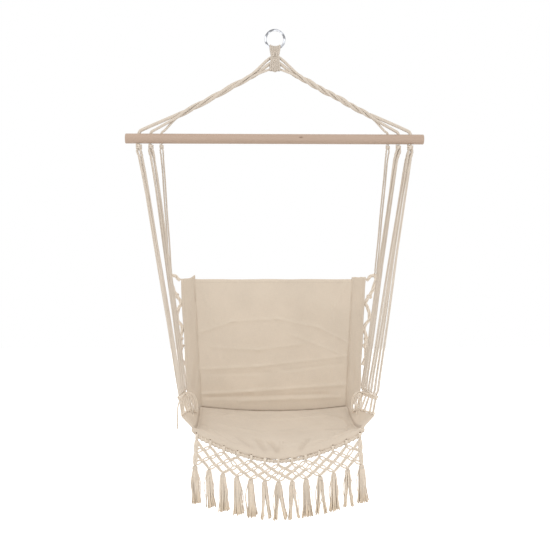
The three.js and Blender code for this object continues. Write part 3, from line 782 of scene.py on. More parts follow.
def laid_cord_tree():
    """Geometry nodes that turn lines into cords of twisted plies."""
    name = "Laid Cord"
    if name in bpy.data.node_groups:
        return bpy.data.node_groups[name]
    inputs = [
        ("Lines", "NodeSocketGeometry", None),
        ("Radius", "NodeSocketFloat", 0.003),
        ("Plies", "NodeSocketInt", 3),
        ("Sides", "NodeSocketInt", 12),
        ("Lay", "NodeSocketFloat", 0.02),
        ("Step", "NodeSocketFloat", 0.002),
        ("Ply Depth", "NodeSocketFloat", 0.24),
        ("Material", "NodeSocketMaterial", None),
    ]
    outputs = [("Cords", "NodeSocketGeometry")]
    tree, given, result = new_group(name, "GeometryNodeTree", inputs, outputs)
    lines = tree.add("GeometryNodeMeshToCurve", {"Mesh": given["Lines"]})
    even = {"Curve": lines.outputs[0], "Length": given["Step"]}
    resampled = tree.add("GeometryNodeResampleCurve", even, mode="LENGTH")
    along = tree.add("GeometryNodeSplineParameter").outputs["Length"]
    turn = tree.math("MULTIPLY", tree.math("DIVIDE", along, given["Lay"]), 2 * math.pi)
    tilted = tree.add("GeometryNodeSetCurveTilt", {"Curve": resampled.outputs[0], "Tilt": turn})
    kept = {"Geometry": tilted.outputs[0], "Name": "along", "Value": along}
    measured = tree.add("GeometryNodeStoreNamedAttribute", kept, data_type="FLOAT", domain="POINT")

    unit = {"Resolution": given["Sides"], "Radius": 1.0}
    section = tree.add("GeometryNodeCurvePrimitiveCircle", unit)
    index = tree.add("GeometryNodeInputIndex").outputs[0]
    around = tree.math("DIVIDE", index, given["Sides"])
    wave = tree.many("MULTIPLY", around, given["Plies"], math.pi)
    valley = tree.math("POWER", tree.math("ABSOLUTE", tree.math("COSINE", wave)), 6.0)
    size = tree.math("SUBTRACT", 1.0, tree.math("MULTIPLY", valley, given["Ply Depth"]))
    radius = tree.math("MULTIPLY", size, given["Radius"])
    place = tree.add("GeometryNodeInputPosition").outputs[0]
    scaled = tree.add("ShaderNodeVectorMath", {0: place, "Scale": radius}, operation="SCALE")
    lobed = {"Geometry": section.outputs[0], "Position": scaled.outputs[0]}
    profile = tree.add("GeometryNodeSetPosition", lobed)
    kept = {"Geometry": profile.outputs[0], "Name": "around", "Value": around}
    marked = tree.add("GeometryNodeStoreNamedAttribute", kept, data_type="FLOAT", domain="POINT")

    swept = {"Curve": measured.outputs[0], "Profile Curve": marked.outputs[0], "Fill Caps": True}
    mesh = tree.add("GeometryNodeCurveToMesh", swept)
    return end_tree(tree, result, mesh.outputs[0], given["Material"])


def stitch_tree():
    """Geometry nodes that sew a row of stitches along a line."""
    name = "Stitches"
    if name in bpy.data.node_groups:
        return bpy.data.node_groups[name]
    inputs = [
        ("Lines", "NodeSocketGeometry", None),
        ("Pitch", "NodeSocketFloat", 0.0045),
        ("Width", "NodeSocketFloat", 0.0009),
        ("Seed", "NodeSocketInt", 7),
        ("Material", "NodeSocketMaterial", None),
    ]
    outputs = [("Stitches", "NodeSocketGeometry")]
    tree, given, result = new_group(name, "GeometryNodeTree", inputs, outputs)
    lines = tree.add("GeometryNodeMeshToCurve", {"Mesh": given["Lines"]})
    spaced = {"Curve": lines.outputs[0], "Length": given["Pitch"]}
    spots = tree.add("GeometryNodeCurveToPoints", spaced, mode="LENGTH")
    bead = tree.add("GeometryNodeMeshUVSphere", {"Segments": 6, "Rings": 5, "Radius": 0.5})
    vary = {2: 0.66, 3: 0.8, "Seed": given["Seed"]}
    length_share = tree.add("FunctionNodeRandomValue", vary, data_type="FLOAT").outputs[1]
    length = tree.math("MULTIPLY", given["Pitch"], length_share)
    size = tree.add("ShaderNodeCombineXYZ", {0: given["Width"], 1: given["Width"], 2: length})
    placed = {
        "Points": spots.outputs["Points"],
        "Instance": bead.outputs[0],
        "Rotation": spots.outputs["Rotation"],
        "Scale": size.outputs[0],
    }
    sewn = tree.add("GeometryNodeInstanceOnPoints", placed)
    return end_tree(tree, result, sewn.outputs[0], given["Material"])


def new_object(name, data):
    """An object of that data in the scene."""
    item = bpy.data.objects.new(name, data)
    bpy.context.scene.collection.objects.link(item)
    return item


def object_of(name, shape, *materials):
    """An object of a mesh that was being edited."""
    mesh = bpy.data.meshes.new(name)
    shape.to_mesh(mesh)
    shape.free()
    for material in materials:
        mesh.materials.append(material)
    return new_object(name, mesh)


def grown(name, routes, tree, values):
    """A plain mesh object that a geometry tree makes from lines."""
    points = []
    edges = []
    for route in routes:
        first = len(points)
        points.extend(route)
        edges.extend((first + step, first + step + 1) for step in range(len(route) - 1))
    lines = bpy.data.meshes.new(f"{name}_lines")
    lines.from_pydata(points, edges, [])
    source = new_object(f"{name}_lines", lines)
    modifier = source.modifiers.new(tree.name, "NODES")
    modifier.node_group = tree
    for item in tree.interface.items_tree:
        if item.in_out == "INPUT" and item.name in values:
            modifier[item.identifier] = values[item.name]
    evaluated = source.evaluated_get(bpy.context.evaluated_depsgraph_get())
    mesh = bpy.data.meshes.new_from_object(evaluated)
    mesh.name = name
    bpy.data.objects.remove(source)
    bpy.data.meshes.remove(lines)
    return new_object(name, mesh)


def laid(name, routes, diameter, material, plies, sides, lay, step, ply_depth):
    """Twisted plies along the routes, with a UV map that runs round and along them."""
    values = {
        "Radius": diameter / 2,
        "Plies": plies,
        "Sides": sides,
        "Lay": lay,
        "Step": step,
        "Ply Depth": ply_depth,
        "Material": material,
    }
    piece = grown(name, routes, laid_cord_tree(), values)
    unwrap_cords(piece.data, lay)
    return piece


def cords(name, routes, diameter, material, plies=3, sides_per_ply=4, steps_per_lay=10):
    """Cords along the routes."""
    settings = bpy.context.scene.hammock_cords
    lay = diameter * settings.lay_share
    return laid(name, routes, diameter, material, plies, plies * sides_per_ply, lay,
                lay / steps_per_lay, settings.ply_depth_share)


def yarns(name, routes, diameter, material):
    """Plain yarns along the routes."""
    return laid(name, routes, diameter, material, 2, 6, diameter * YARN_LAY, YARN_STEP,
                YARN_PLY_DEPTH)


def unwrap_cords(mesh, lay):
    """Writes the UV map of cords: turns round the cord, untwisted, and metres along it."""
    stored = {}
    for name in ("along", "around"):
        stored[name] = np.zeros(len(mesh.vertices), np.float32)
        mesh.attributes[name].data.foreach_get("value", stored[name])
        mesh.attributes.remove(mesh.attributes[name])
    corners = np.zeros(len(mesh.loops), np.int32)
    mesh.loops.foreach_get("vertex_index", corners)
    starts = np.zeros(len(mesh.polygons), np.int32)
    mesh.polygons.foreach_get("loop_start", starts)
    turns = stored["around"][corners]
    face_of = np.zeros(len(corners), np.int32)
    face_of[starts] = 1
    face_of = np.cumsum(face_of) - 1
    highest = np.full(len(starts), -1.0, np.float32)
    np.maximum.at(highest, face_of, turns)
    turns = np.where(highest[face_of] - turns > 0.5, turns + 1, turns)
    metres = stored["along"][corners]
    uv = np.stack([turns + metres / lay, metres], axis=1).astype(np.float32)
    layer = mesh.uv_layers.new(name="cord")
    layer.data.foreach_set("uv", uv.ravel())


def merged(name, *pieces):
    """One object of several, with their materials."""
    whole = bmesh.new()
    materials = []
    for piece in pieces:
        piece.data.name = f"{name}_part"
        start = len(whole.faces)
        whole.from_mesh(piece.data)
        whole.faces.ensure_lookup_table()
        for face in whole.faces[start:]:
            face.material_index += len(materials)
        materials.extend(piece.data.materials)
        bpy.data.objects.remove(piece)
    return object_of(name, whole, *materials)


# Meshes


def mesh_object(name, points, faces, material):
    """A smooth mesh object."""
    mesh = bpy.data.meshes.new(name)
    mesh.from_pydata([tuple(spot) for spot in points], [], faces)
    mesh.materials.append(material)
    mesh.shade_smooth()
    return new_object(name, mesh)


def loft(name, rings, material, closed=False):
    """A skin over rings of points, closed on itself or capped at both ends."""
    count = len(rings[0])
    points = [spot for ring in rings for spot in ring]
    faces = []
    spans = len(rings) if closed else len(rings) - 1
    for ring in range(spans):
        here = ring * count
        there = (ring + 1) % len(rings) * count
        for side in range(count):
            after = (side + 1) % count
            faces.append((here + side, here + after, there + after, there + side))
    if not closed:
        faces.append(tuple(reversed(range(count))))
        faces.append(tuple(range(len(points) - count, len(points))))
    piece = mesh_object(name, points, faces, material)
    shell = bmesh.new()
    shell.from_mesh(piece.data)
    bmesh.ops.recalc_face_normals(shell, faces=shell.faces)
    shell.to_mesh(piece.data)
    shell.free()
    return piece


def swept(name, route, ring_at, material):
    """A tube along a route. ring_at gives its section there as pairs of lengths, beside and up."""
    rings = []
    for index, (normal, beside) in enumerate(frames_along(route)):
        rings.append([route[index] + beside * a + normal * b for a, b in ring_at(index)])
    return loft(name, rings, material)


def pad(name, place, across, along, thickness, rim_share):
    """A padded sheet about the middle cloth that place gives, drawn in at its edges."""
    rings = []
    for share in shares(along):
        length = (1 - math.cos(math.pi * share)) / 2
        length_crown = crown(2 * length - 1, rim_share)
        top = []
        under = []
        for width_share in shares(across):
            width = -math.cos(math.pi * width_share)
            middle, way, *fill = place(width, length)
            full = fill[0] if fill else 1
            half = thickness / 2 * full * min(length_crown, crown(width, rim_share))
            top.append(middle + way * half)
            under.insert(0, middle - way * half)
        rings.append(top + under)
    piece = loft(name, rings, canvas_material())
    cap_pad(piece, len(rings[0]))
    return piece


def cap_pad(piece, count):
    """Covers a pad's ends with rows of four-sided faces in place of one large face."""
    shell = bmesh.new()
    shell.from_mesh(piece.data)
    large = [face for face in shell.faces if len(face.verts) > 4]
    bmesh.ops.delete(shell, geom=large, context="FACES_ONLY")
    shell.verts.ensure_lookup_table()
    for first in (0, len(shell.verts) - count):
        for step in range(count // 2 - 1):
            corners = (step, step + 1, count - 2 - step, count - 1 - step)
            shell.faces.new([shell.verts[first + corner] for corner in corners])
    bmesh.ops.recalc_face_normals(shell, faces=shell.faces)
    for face in shell.faces:
        face.smooth = True
    shell.to_mesh(piece.data)
    shell.free()


def crown(share, rim_share):
    """The share of its thickness that a pad has there."""
    return rim_share + (1 - rim_share) * math.sqrt(max(0, 1 - abs(share) ** 6))


def apply_modifiers(piece):
    """Makes a piece's modifiers part of its mesh."""
    evaluated = piece.evaluated_get(bpy.context.evaluated_depsgraph_get())
    mesh = bpy.data.meshes.new_from_object(evaluated)
    piece.modifiers.clear()
    old = piece.data
    piece.data = mesh
    bpy.data.meshes.remove(old)
    mesh.name = piece.name


def remesh(piece):
    """Evens out a piece's faces."""
    modifier = piece.modifiers.new("Remesh", "REMESH")
    modifier.mode = "VOXEL"
    modifier.voxel_size = CLOTH_VOXEL
    modifier.use_smooth_shade = True
    apply_modifiers(piece)


def inflate(piece, cap, held_at):
    """Blows a padded piece up as cloth. held_at gives how firmly its seams hold each point."""
    scene = bpy.context.scene
    rest = points_of(piece)
    held = piece.vertex_groups.new(name="held")
    for index, spot in enumerate(rest):
        held.add([index], held_at(Vector(spot)), "REPLACE")
    modifier = piece.modifiers.new("Cloth", "CLOTH")
    for name, value in CLOTH_LOOKS.items():
        setattr(modifier.settings, name, value)
    modifier.settings.effector_weights.gravity = 0
    modifier.settings.vertex_group_mass = held.name
    modifier.collision_settings.use_collision = False
    modifier.point_cache.frame_start = 1
    modifier.point_cache.frame_end = CLOTH_FRAMES
    for number in range(1, CLOTH_FRAMES + 1):
        scene.frame_set(number)
    apply_modifiers(piece)
    piece.vertex_groups.clear()
    scene.frame_set(1)
    moved = points_of(piece) - rest
    distance = np.linalg.norm(moved, axis=1, keepdims=True)
    set_points(piece, rest + moved * np.minimum(1, cap / np.maximum(distance, 1e-9)))


def points_of(piece):
    """The piece's points as an array."""
    points = np.zeros(len(piece.data.vertices) * 3, np.float32)
    piece.data.vertices.foreach_get("co", points)
    return points.reshape(-1, 3)


def set_points(piece, points):
    """Moves the piece's points."""
    piece.data.vertices.foreach_set("co", points.astype(np.float32).ravel())
    piece.data.update()


def push(piece, amount_at):
    """Moves each point along its normal by the length that amount_at gives for it."""
    points = points_of(piece)
    normals = np.zeros(points.size, np.float32)
    piece.data.vertex_normals.foreach_get("vector", normals)
    normals = normals.reshape(-1, 3)
    amounts = np.array([amount_at(Vector(p), Vector(n)) for p, n in zip(points, normals)])
    set_points(piece, points + normals * amounts[:, None])


def subdivide(piece):
    """Rounds a piece with one level of subdivision."""
    modifier = piece.modifiers.new("Subdivision", "SUBSURF")
    modifier.levels = 1
    modifier.render_levels = 1
    apply_modifiers(piece)
    piece.data.shade_smooth()


def cloth_uv(piece, flat_of):
    """Writes the UV map of a cloth piece: where each point lies on the flat cloth, in metres."""
    mesh = piece.data
    flat = np.array([flat_of(Vector(p)) for p in points_of(piece)], np.float32)
    corners = np.zeros(len(mesh.loops), np.int32)
    mesh.loops.foreach_get("vertex_index", corners)
    layer = mesh.uv_layers.new(name="cloth")
    layer.data.foreach_set("uv", flat[corners].ravel())


def paint_seam_shade(piece, depth_at):
    """Stores the painted shade of each point in the seam attribute, most of it along seams, which
    darkens the cloth there.
    """
    layer = piece.data.attributes.new("seam", "FLOAT", "POINT")
    depths = np.array([depth_at(Vector(p)) for p in points_of(piece)], np.float32)
    layer.data.foreach_set("value", depths)


def bump_of(distance, width):
    """A soft ridge: 1 on its line, 0 far from it."""
    return math.exp(-((distance / width) ** 2))


def soft_noise(spot, size, seed):
    """Smooth noise between -1 and 1 with bumps of about that size."""
    return noise.noise(spot / size + Vector((seed, 2 * seed, 3 * seed)))


def fold_share(x, y, start, end, width):
    """How much a fold from start to end, two points in a plane, lifts the cloth at x, y."""
    dx, dy = end[0] - start[0], end[1] - start[1]
    length = math.hypot(dx, dy)
    along = ((x - start[0]) * dx + (y - start[1]) * dy) / length
    off = ((x - start[0]) * dy - (y - start[1]) * dx) / length
    past = max(0, -along, along - length)
    return bump_of(off, width) * bump_of(past, 2 * width)


def ready(piece, body, slot, *nodes):
    """Puts a finished piece on its body and in place of the solids it stands for; the slot is not
    used.
    """
    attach(piece, body)
    if nodes:
        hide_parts(*nodes)


# Materials


def emptied(data):
    """The helper for the tree of a material or a world, cleared of its nodes."""
    data.use_nodes = True
    data.node_tree.nodes.clear()
    return Tree(data.node_tree)


def new_material(name, looks):
    """A material, the helper for its tree and the inputs of its shader with those values."""
    material = bpy.data.materials.new(name)
    tree = emptied(material)
    shader = tree.add("ShaderNodeBsdfPrincipled", looks)
    tree.add("ShaderNodeOutputMaterial", {"Surface": shader.outputs[0]})
    return material, tree, shader.inputs


def shade(colour, share):
    """A colour made darker or lighter by a share, with full alpha."""
    return (*[min(1, part * share) for part in colour], 1)


def fibre_group():
    """Colour and height of cotton fibres that run along a cord, with the valley colour painted into
    the valleys between its plies: painted shade where that colour is the darker, painted light where
    it is the lighter.
    """
    name = "Cotton Fibres"
    if name in bpy.data.node_groups:
        return bpy.data.node_groups[name]
    inputs = [
        ("Colour", "NodeSocketColor", (0.6, 0.55, 0.45, 1)),
        ("Valley Colour", "NodeSocketColor", (0.4, 0.34, 0.26, 1)),
        ("Fineness", "NodeSocketFloat", 5.0),
        ("Stretch", "NodeSocketFloat", 90.0),
        ("Plies", "NodeSocketFloat", 3.0),
        ("Lay", "NodeSocketFloat", 0.02),
    ]
    outputs = [("Colour", "NodeSocketColor"), ("Height", "NodeSocketFloat")]
    tree, given, result = new_group(name, "ShaderNodeTree", inputs, outputs)
    parts = tree.add("ShaderNodeSeparateXYZ", {0: tree.flat("cord")}).outputs
    angle = tree.math("MULTIPLY", parts[0], 2 * math.pi)
    along = tree.math("MULTIPLY", parts[1], given["Stretch"])
    values = {0: tree.math("COSINE", angle), 1: tree.math("SINE", angle), 2: along}
    around = tree.add("ShaderNodeCombineXYZ", values).outputs[0]
    fibres = tree.noise(around, given["Fineness"], 3.0, Roughness=0.6)
    turned = tree.math("SUBTRACT", parts[0], tree.math("DIVIDE", parts[1], given["Lay"]))
    wave = tree.many("MULTIPLY", turned, given["Plies"], math.pi)
    # The ply valleys get the valley colour: painted shade, and painted light where the valley colour
    # is set lighter than the colour
    valley = tree.math("POWER", tree.math("ABSOLUTE", tree.math("COSINE", wave)), 4.0)
    worn = tree.math("MULTIPLY_ADD", tree.noise(tree.place(), 14.0), 0.5, -0.15)
    parts = ((valley, 0.55), (fibres, 0.32), (worn, 0.45))
    dark = tree.many("ADD", *(tree.math("MULTIPLY", value, share) for value, share in parts))
    tree.put(result.inputs[0], tree.blend(dark, given["Colour"], given["Valley Colour"]))
    tree.put(result.inputs[1], tree.math("SUBTRACT", fibres, tree.math("MULTIPLY", valley, 0.6)))
    return tree.tree


def weave_group():
    """Colour and height of plain-woven cloth, from the cloth's own flat map, with painted shade where
    each yarn dips under the next.
    """
    name = "Plain Weave"
    if name in bpy.data.node_groups:
        return bpy.data.node_groups[name]
    inputs = [
        ("Colour", "NodeSocketColor", (0.6, 0.55, 0.45, 1)),
        ("Shade Colour", "NodeSocketColor", (0.5, 0.42, 0.33, 1)),
        ("Pitch", "NodeSocketFloat", 0.0011),
    ]
    outputs = [("Colour", "NodeSocketColor"), ("Height", "NodeSocketFloat")]
    tree, given, result = new_group(name, "ShaderNodeTree", inputs, outputs)
    uv = tree.flat("cloth")
    parts = tree.add("ShaderNodeSeparateXYZ", {0: uv}).outputs
    waves = []
    for axis in (0, 1):
        scaled = tree.math("DIVIDE", parts[axis], given["Pitch"])
        waves.append(tree.math("SINE", tree.math("MULTIPLY", scaled, math.pi)))
    over = tree.math("GREATER_THAN", tree.math("MULTIPLY", *waves), 0.0)
    warp, weft = (tree.math("ABSOLUTE", wave) for wave in waves)
    under = tree.math("SUBTRACT", 1.0, over)
    height = tree.math("ADD", tree.math("MULTIPLY", over, warp), tree.math("MULTIPLY", under, weft))
    stretches = ((60.0, 900.0, 1.0), (900.0, 60.0, 1.0))
    slubs = [tree.noise(tree.stretched(uv, stretch), 1.0) for stretch in stretches]
    slub = tree.math("MULTIPLY", tree.math("ADD", *slubs), 0.5)
    patches = tree.noise(tree.place(), 9.0, 3.0)
    # Painted shade where a yarn dips under the next, with the yarns' slubs and random patches of the
    # cloth's own tone
    parts = (
        tree.math("MULTIPLY_ADD", tree.math("SUBTRACT", 1.0, height), 0.28, -0.06),
        tree.math("MULTIPLY_ADD", slub, 0.7, -0.35),
        tree.math("MULTIPLY_ADD", patches, 0.5, -0.12),
    )
    dark = tree.clamped(tree.many("ADD", *parts))
    tree.put(result.inputs[0], tree.blend(dark, given["Colour"], given["Shade Colour"]))
    tree.put(result.inputs[1], tree.math("ADD", height, tree.math("MULTIPLY", slub, 0.8)))
    return tree.tree


def cord_material(name, colour, lay, plies=3, fineness=5.0, valley_share=0.93, frayed=None):
    """Cotton cord or yarn, which may turn to another colour over the last part of its length;
    valley_share sets the colour painted into the valleys between its plies, painted shade below the
    crest's 1.06 and painted light above it.
    """
    if name in bpy.data.materials:
        return bpy.data.materials[name]
    looks = {"Roughness": 0.9, "Specular IOR Level": 0.2, "Sheen Weight": 0.15}
    material, tree, wanted = new_material(name, looks)
    values = {
        "Colour": shade(colour, 1.06),
        "Valley Colour": shade(colour, valley_share),
        "Fineness": fineness,
        "Plies": float(plies),
        "Lay": lay,
    }
    fibres = tree.add("ShaderNodeGroup", values, node_tree=fibre_group())
    seen = fibres.outputs["Colour"]
    if frayed:
        metres = tree.add("ShaderNodeSeparateXYZ", {0: tree.flat("cord")}).outputs[1]
        worn = tree.ranged(metres, TASSEL_LENGTH * 0.55, TASSEL_LENGTH)
        seen = tree.blend(worn, seen, frayed)
        streaks = tree.noise(tree.stretched(tree.place(), (380.0, 380.0, 22.0)), 1.0, 1.0)
        dark = tree.clamped(tree.math("MULTIPLY_ADD", streaks, 2.2, -1.0), 0.8)
        seen = tree.blend(dark, seen, shade(colour, 0.76))
    tree.put(wanted["Base Color"], seen)
    tree.put(wanted["Normal"], tree.relief(fibres.outputs["Height"], 0.3, 0.0003))
    return material


def rope_material(diameter):
    """Cord of the fans and stopper knots, for cords of that diameter."""
    settings = bpy.context.scene.hammock_cords
    name = f"rope_cord_{round(diameter * 10000)}"
    return cord_material(name, settings.rope_colour, diameter * settings.lay_share)


def strand_material(diameter):
    """Cord of the hanging ropes, a little greyed, with painted light in the valleys between its plies
    to even out their shade, for cords of that diameter.
    """
    settings = bpy.context.scene.hammock_cords
    name = f"strand_cord_{round(diameter * 10000)}"
    colour = shade(settings.rope_colour, 0.87)[:3]
    # A valley share above the crest's 1.06 paints light into the ply valleys
    return cord_material(name, colour, diameter * settings.lay_share, valley_share=1.1)


def collar_material():
    """Cord of the collar, a little darker than the ropes, with painted shade in the valleys between
    its plies.
    """
    colour = shade(bpy.context.scene.hammock_cords.rope_colour, 0.87)[:3]
    return cord_material("collar_cord", colour, 0.03, valley_share=0.84)


def knotted_material(diameter, plies=2):
    """Cord of the macrame, net and lacing, for cords of that diameter."""
    settings = bpy.context.scene.hammock_cords
    name = f"knotted_cord_{round(diameter * 10000)}"
    return cord_material(name, settings.knotted_colour, diameter * settings.lay_share, plies)


def tassel_material():
    """Yarn of the tassels, yellower towards its frayed end."""
    settings = bpy.context.scene.hammock_cords
    colour = shade(settings.knotted_colour, 1.06)[:3]
    red, green, blue = settings.knotted_colour
    frayed = (red * 0.98, green * 0.92, blue * 0.82, 1)
    return cord_material("tassel_yarn", colour, YARN_LAY * settings.tassel_yarn, 2, 3.5, 0.88, frayed)


def canvas_material():
    """Plain-woven cotton canvas, with painted shade from the seam attribute."""
    name = "woven_canvas"
    if name in bpy.data.materials:
        return bpy.data.materials[name]
    settings = bpy.context.scene.hammock_cloth
    looks = {"Roughness": 0.93, "Specular IOR Level": 0.15, "Sheen Weight": 0.12}
    material, tree, wanted = new_material(name, looks)
    values = {
        "Colour": shade(settings.canvas_colour, 1.07),
        "Shade Colour": shade(settings.canvas_colour, 0.74),
        "Pitch": settings.yarn_pitch,
    }
    weave = tree.add("ShaderNodeGroup", values, node_tree=weave_group()).outputs
    # The seam attribute holds painted shade: seams, fold valleys and the lip are darkened towards a
    # dark brown, and the bands and the seat a little all over
    seam = tree.add("ShaderNodeAttribute", attribute_name="seam").outputs["Fac"]
    painted_shade_share = tree.math("MULTIPLY", seam, 0.65)
    tree.put(wanted["Base Color"], tree.blend(painted_shade_share, weave["Colour"], (0.24, 0.165, 0.11, 1)))
    woven = tree.relief(weave["Height"], 0.4, 0.0003)
    rumpled = tree.noise(tree.place(), 26.0, 4.0)
    tree.put(wanted["Normal"], tree.relief(rumpled, 0.22, 0.004, Normal=woven))
    return material


def thread_material():
    """Sewing thread."""
    name = "sewing_thread"
    if name in bpy.data.materials:
        return bpy.data.materials[name]
    colour = bpy.context.scene.hammock_cloth.canvas_colour
    material, tree, wanted = new_material(name, {"Roughness": 0.7})
    grain = tree.noise(tree.place(), 1400.0)
    tree.put(wanted["Base Color"], tree.blend(grain, shade(colour, 0.6), shade(colour, 0.92)))
    tree.put(wanted["Normal"], tree.relief(grain, 0.4, 0.0002))
    return material


def hole_shade_material():
    """Painted shade that stands for the dark inside of a pierced hole."""
    name = "hole_shadow"
    if name in bpy.data.materials:
        return bpy.data.materials[name]
    material, tree, wanted = new_material(name, {"Roughness": 1.0})
    grain = tree.noise(tree.place(), 900.0)
    shadow = tree.blend(grain, (0.13, 0.085, 0.055, 1), (0.30, 0.21, 0.145, 1))
    tree.put(wanted["Base Color"], shadow)
    return material


def wood_material():
    """Oiled beech with fine grain along the bar and one small knot."""
    name = "beech"
    if name in bpy.data.materials:
        return bpy.data.materials[name]
    settings = bpy.context.scene.hammock_hardware
    material, tree, wanted = new_material(name, {"Specular IOR Level": 0.35})
    place = tree.place()
    along = tree.stretched(place, (0.035, 1.0, 1.0))
    bands = tree.noise(along, 70.0, 3.0, Distortion=0.6)
    grain = tree.noise(along, 520.0, 4.0, Roughness=0.65)
    pores = tree.noise(tree.stretched(place, (0.12, 1.0, 1.0)), 1500.0, 1.0)
    fleck = tree.math("MULTIPLY", tree.math("GREATER_THAN", pores, 0.64), 0.4)
    broad = tree.math("MULTIPLY_ADD", bands, 1.5, -0.55)
    fine = tree.math("MULTIPLY_ADD", grain, 1.1, -0.45)
    dark = tree.clamped(tree.many("ADD", broad, fine, fleck))
    coloured = tree.blend(dark, shade(settings.wood_colour, 1), shade(settings.grain_colour, 1))
    patches = tree.math("MULTIPLY", tree.noise(along, 22.0), 0.35)
    toned = tree.blend(patches, coloured, (0.40, 0.32, 0.262, 1))
    apart = {0: place, 1: WOOD_KNOT_PLACE}
    moved = tree.add("ShaderNodeVectorMath", apart, operation="SUBTRACT").outputs[0]
    squeezed = tree.stretched(moved, (0.42, 0.5, 1.0))
    far = tree.add("ShaderNodeVectorMath", {0: squeezed}, operation="LENGTH").outputs["Value"]
    knot = tree.ranged(far, 0.0007, 0.0036, 0.85, 0.0)
    tree.put(wanted["Base Color"], tree.blend(knot, toned, (0.20, 0.125, 0.085, 1)))
    tree.put(wanted["Roughness"], tree.math("MULTIPLY_ADD", grain, 0.2, 0.48))
    height = tree.math("SUBTRACT", tree.math("MULTIPLY", grain, 0.6), fleck)
    tree.put(wanted["Normal"], tree.relief(height, 0.3, 0.0003))
    return material


def steel_material():
    """Polished steel with fine scratches, and painted reflections: random dark and bright patches,
    and darker rims where the wire is seen edge-on.
    """
    name = "polished_steel"
    if name in bpy.data.materials:
        return bpy.data.materials[name]
    colour = bpy.context.scene.hammock_hardware.steel_colour
    material, tree, wanted = new_material(name, {"Metallic": 1.0})
    place = tree.place()
    smears = tree.noise(place, 130.0, 3.0)
    scratches = tree.noise(place, 2600.0, 1.0)
    # Painted reflections: noise patches between dark and bright steel, and a darker rim where the
    # wire turns away, in place of dark surroundings mirrored in it
    painted_reflection = tree.ranged(tree.noise(place, 62.0, 1.0), 0.44, 0.56)
    facing = tree.add("ShaderNodeLayerWeight", {"Blend": 0.5}).outputs["Facing"]
    edge = tree.ranged(facing, 0.45, 0.95)
    toned = tree.blend(painted_reflection, shade(colour, 0.48), shade(colour, 1.36))
    tree.put(wanted["Base Color"], tree.blend(edge, toned, shade(colour, 0.62)))
    tree.put(wanted["Roughness"], tree.math("MULTIPLY_ADD", smears, 0.14, 0.1))
    height = tree.math("ADD", scratches, tree.math("MULTIPLY", smears, 2.0))
    tree.put(wanted["Normal"], tree.relief(height, 0.12, 0.0002))
    return material


# Pieces on the ring


def ring_angle_point(angle):
    """A point on the middle of the ring's wire, counted from the bottom."""
    return Vector((RING_RADIUS * math.sin(angle), 0, RING_CENTRE_Z - RING_RADIUS * math.cos(angle)))


def make_ring():
    """The ring's wire and the small bead of its weld."""
    rings = []
    for step in range(96):
        angle = 2 * math.pi * step / 96
        middle = ring_angle_point(angle)
        out = Vector((math.sin(angle), 0, -math.cos(angle)))
        swell = bump_of(math.pi - angle, 0.07) * WELD_SWELL
        ring = []
        for outwards, behind in circle(20):
            radius = RING_WIRE / 2 + swell * max(0, -outwards)
            ring.append(middle + radius * (outwards * out + behind * BACKWARDS))
        rings.append(ring)
    ring = loft("ring_wire", rings, steel_material(), closed=True)
    bead = bmesh.new()
    spot = Matrix.Translation(ring_angle_point(math.pi) - UP * (RING_WIRE / 2 + 0.0004))
    wide = spot @ Matrix.Diagonal((1.5, 1.1, 1.0, 1.0))
    bmesh.ops.create_icosphere(bead, subdivisions=3, radius=WELD_RADIUS, matrix=wide)
    weld = object_of("ring_weld", bead, steel_material())
    weld.data.shade_smooth()
    ready(ring, "root", "ring", "steel_ring")
    ready(weld, "root", "ring")


def collar_core():
    """The body inside the collar's cords."""
    stops = (
        (COLLAR_WAIST_DROP, COLLAR_WAIST_WIDTH - 0.006),
        (COLLAR_KNOT_DROP, COLLAR_KNOT_WIDTH - 0.006),
        (COLLAR_DROP - 0.006, COLLAR_KNOT_WIDTH - 0.007),
        (COLLAR_DROP - 0.003, COLLAR_WAIST_WIDTH - 0.010),
        (COLLAR_DROP - 0.001, COLLAR_WAIST_WIDTH - 0.018),
    )
    depth = COLLAR_DEPTH / 2 - 0.002
    rings = []
    for drop, width in stops:
        z = SWING_Z - drop
        rings.append([Vector((x * width / 2, y * depth, z)) for x, y in circle(20)])
    return loft("collar_core", rings, collar_material())


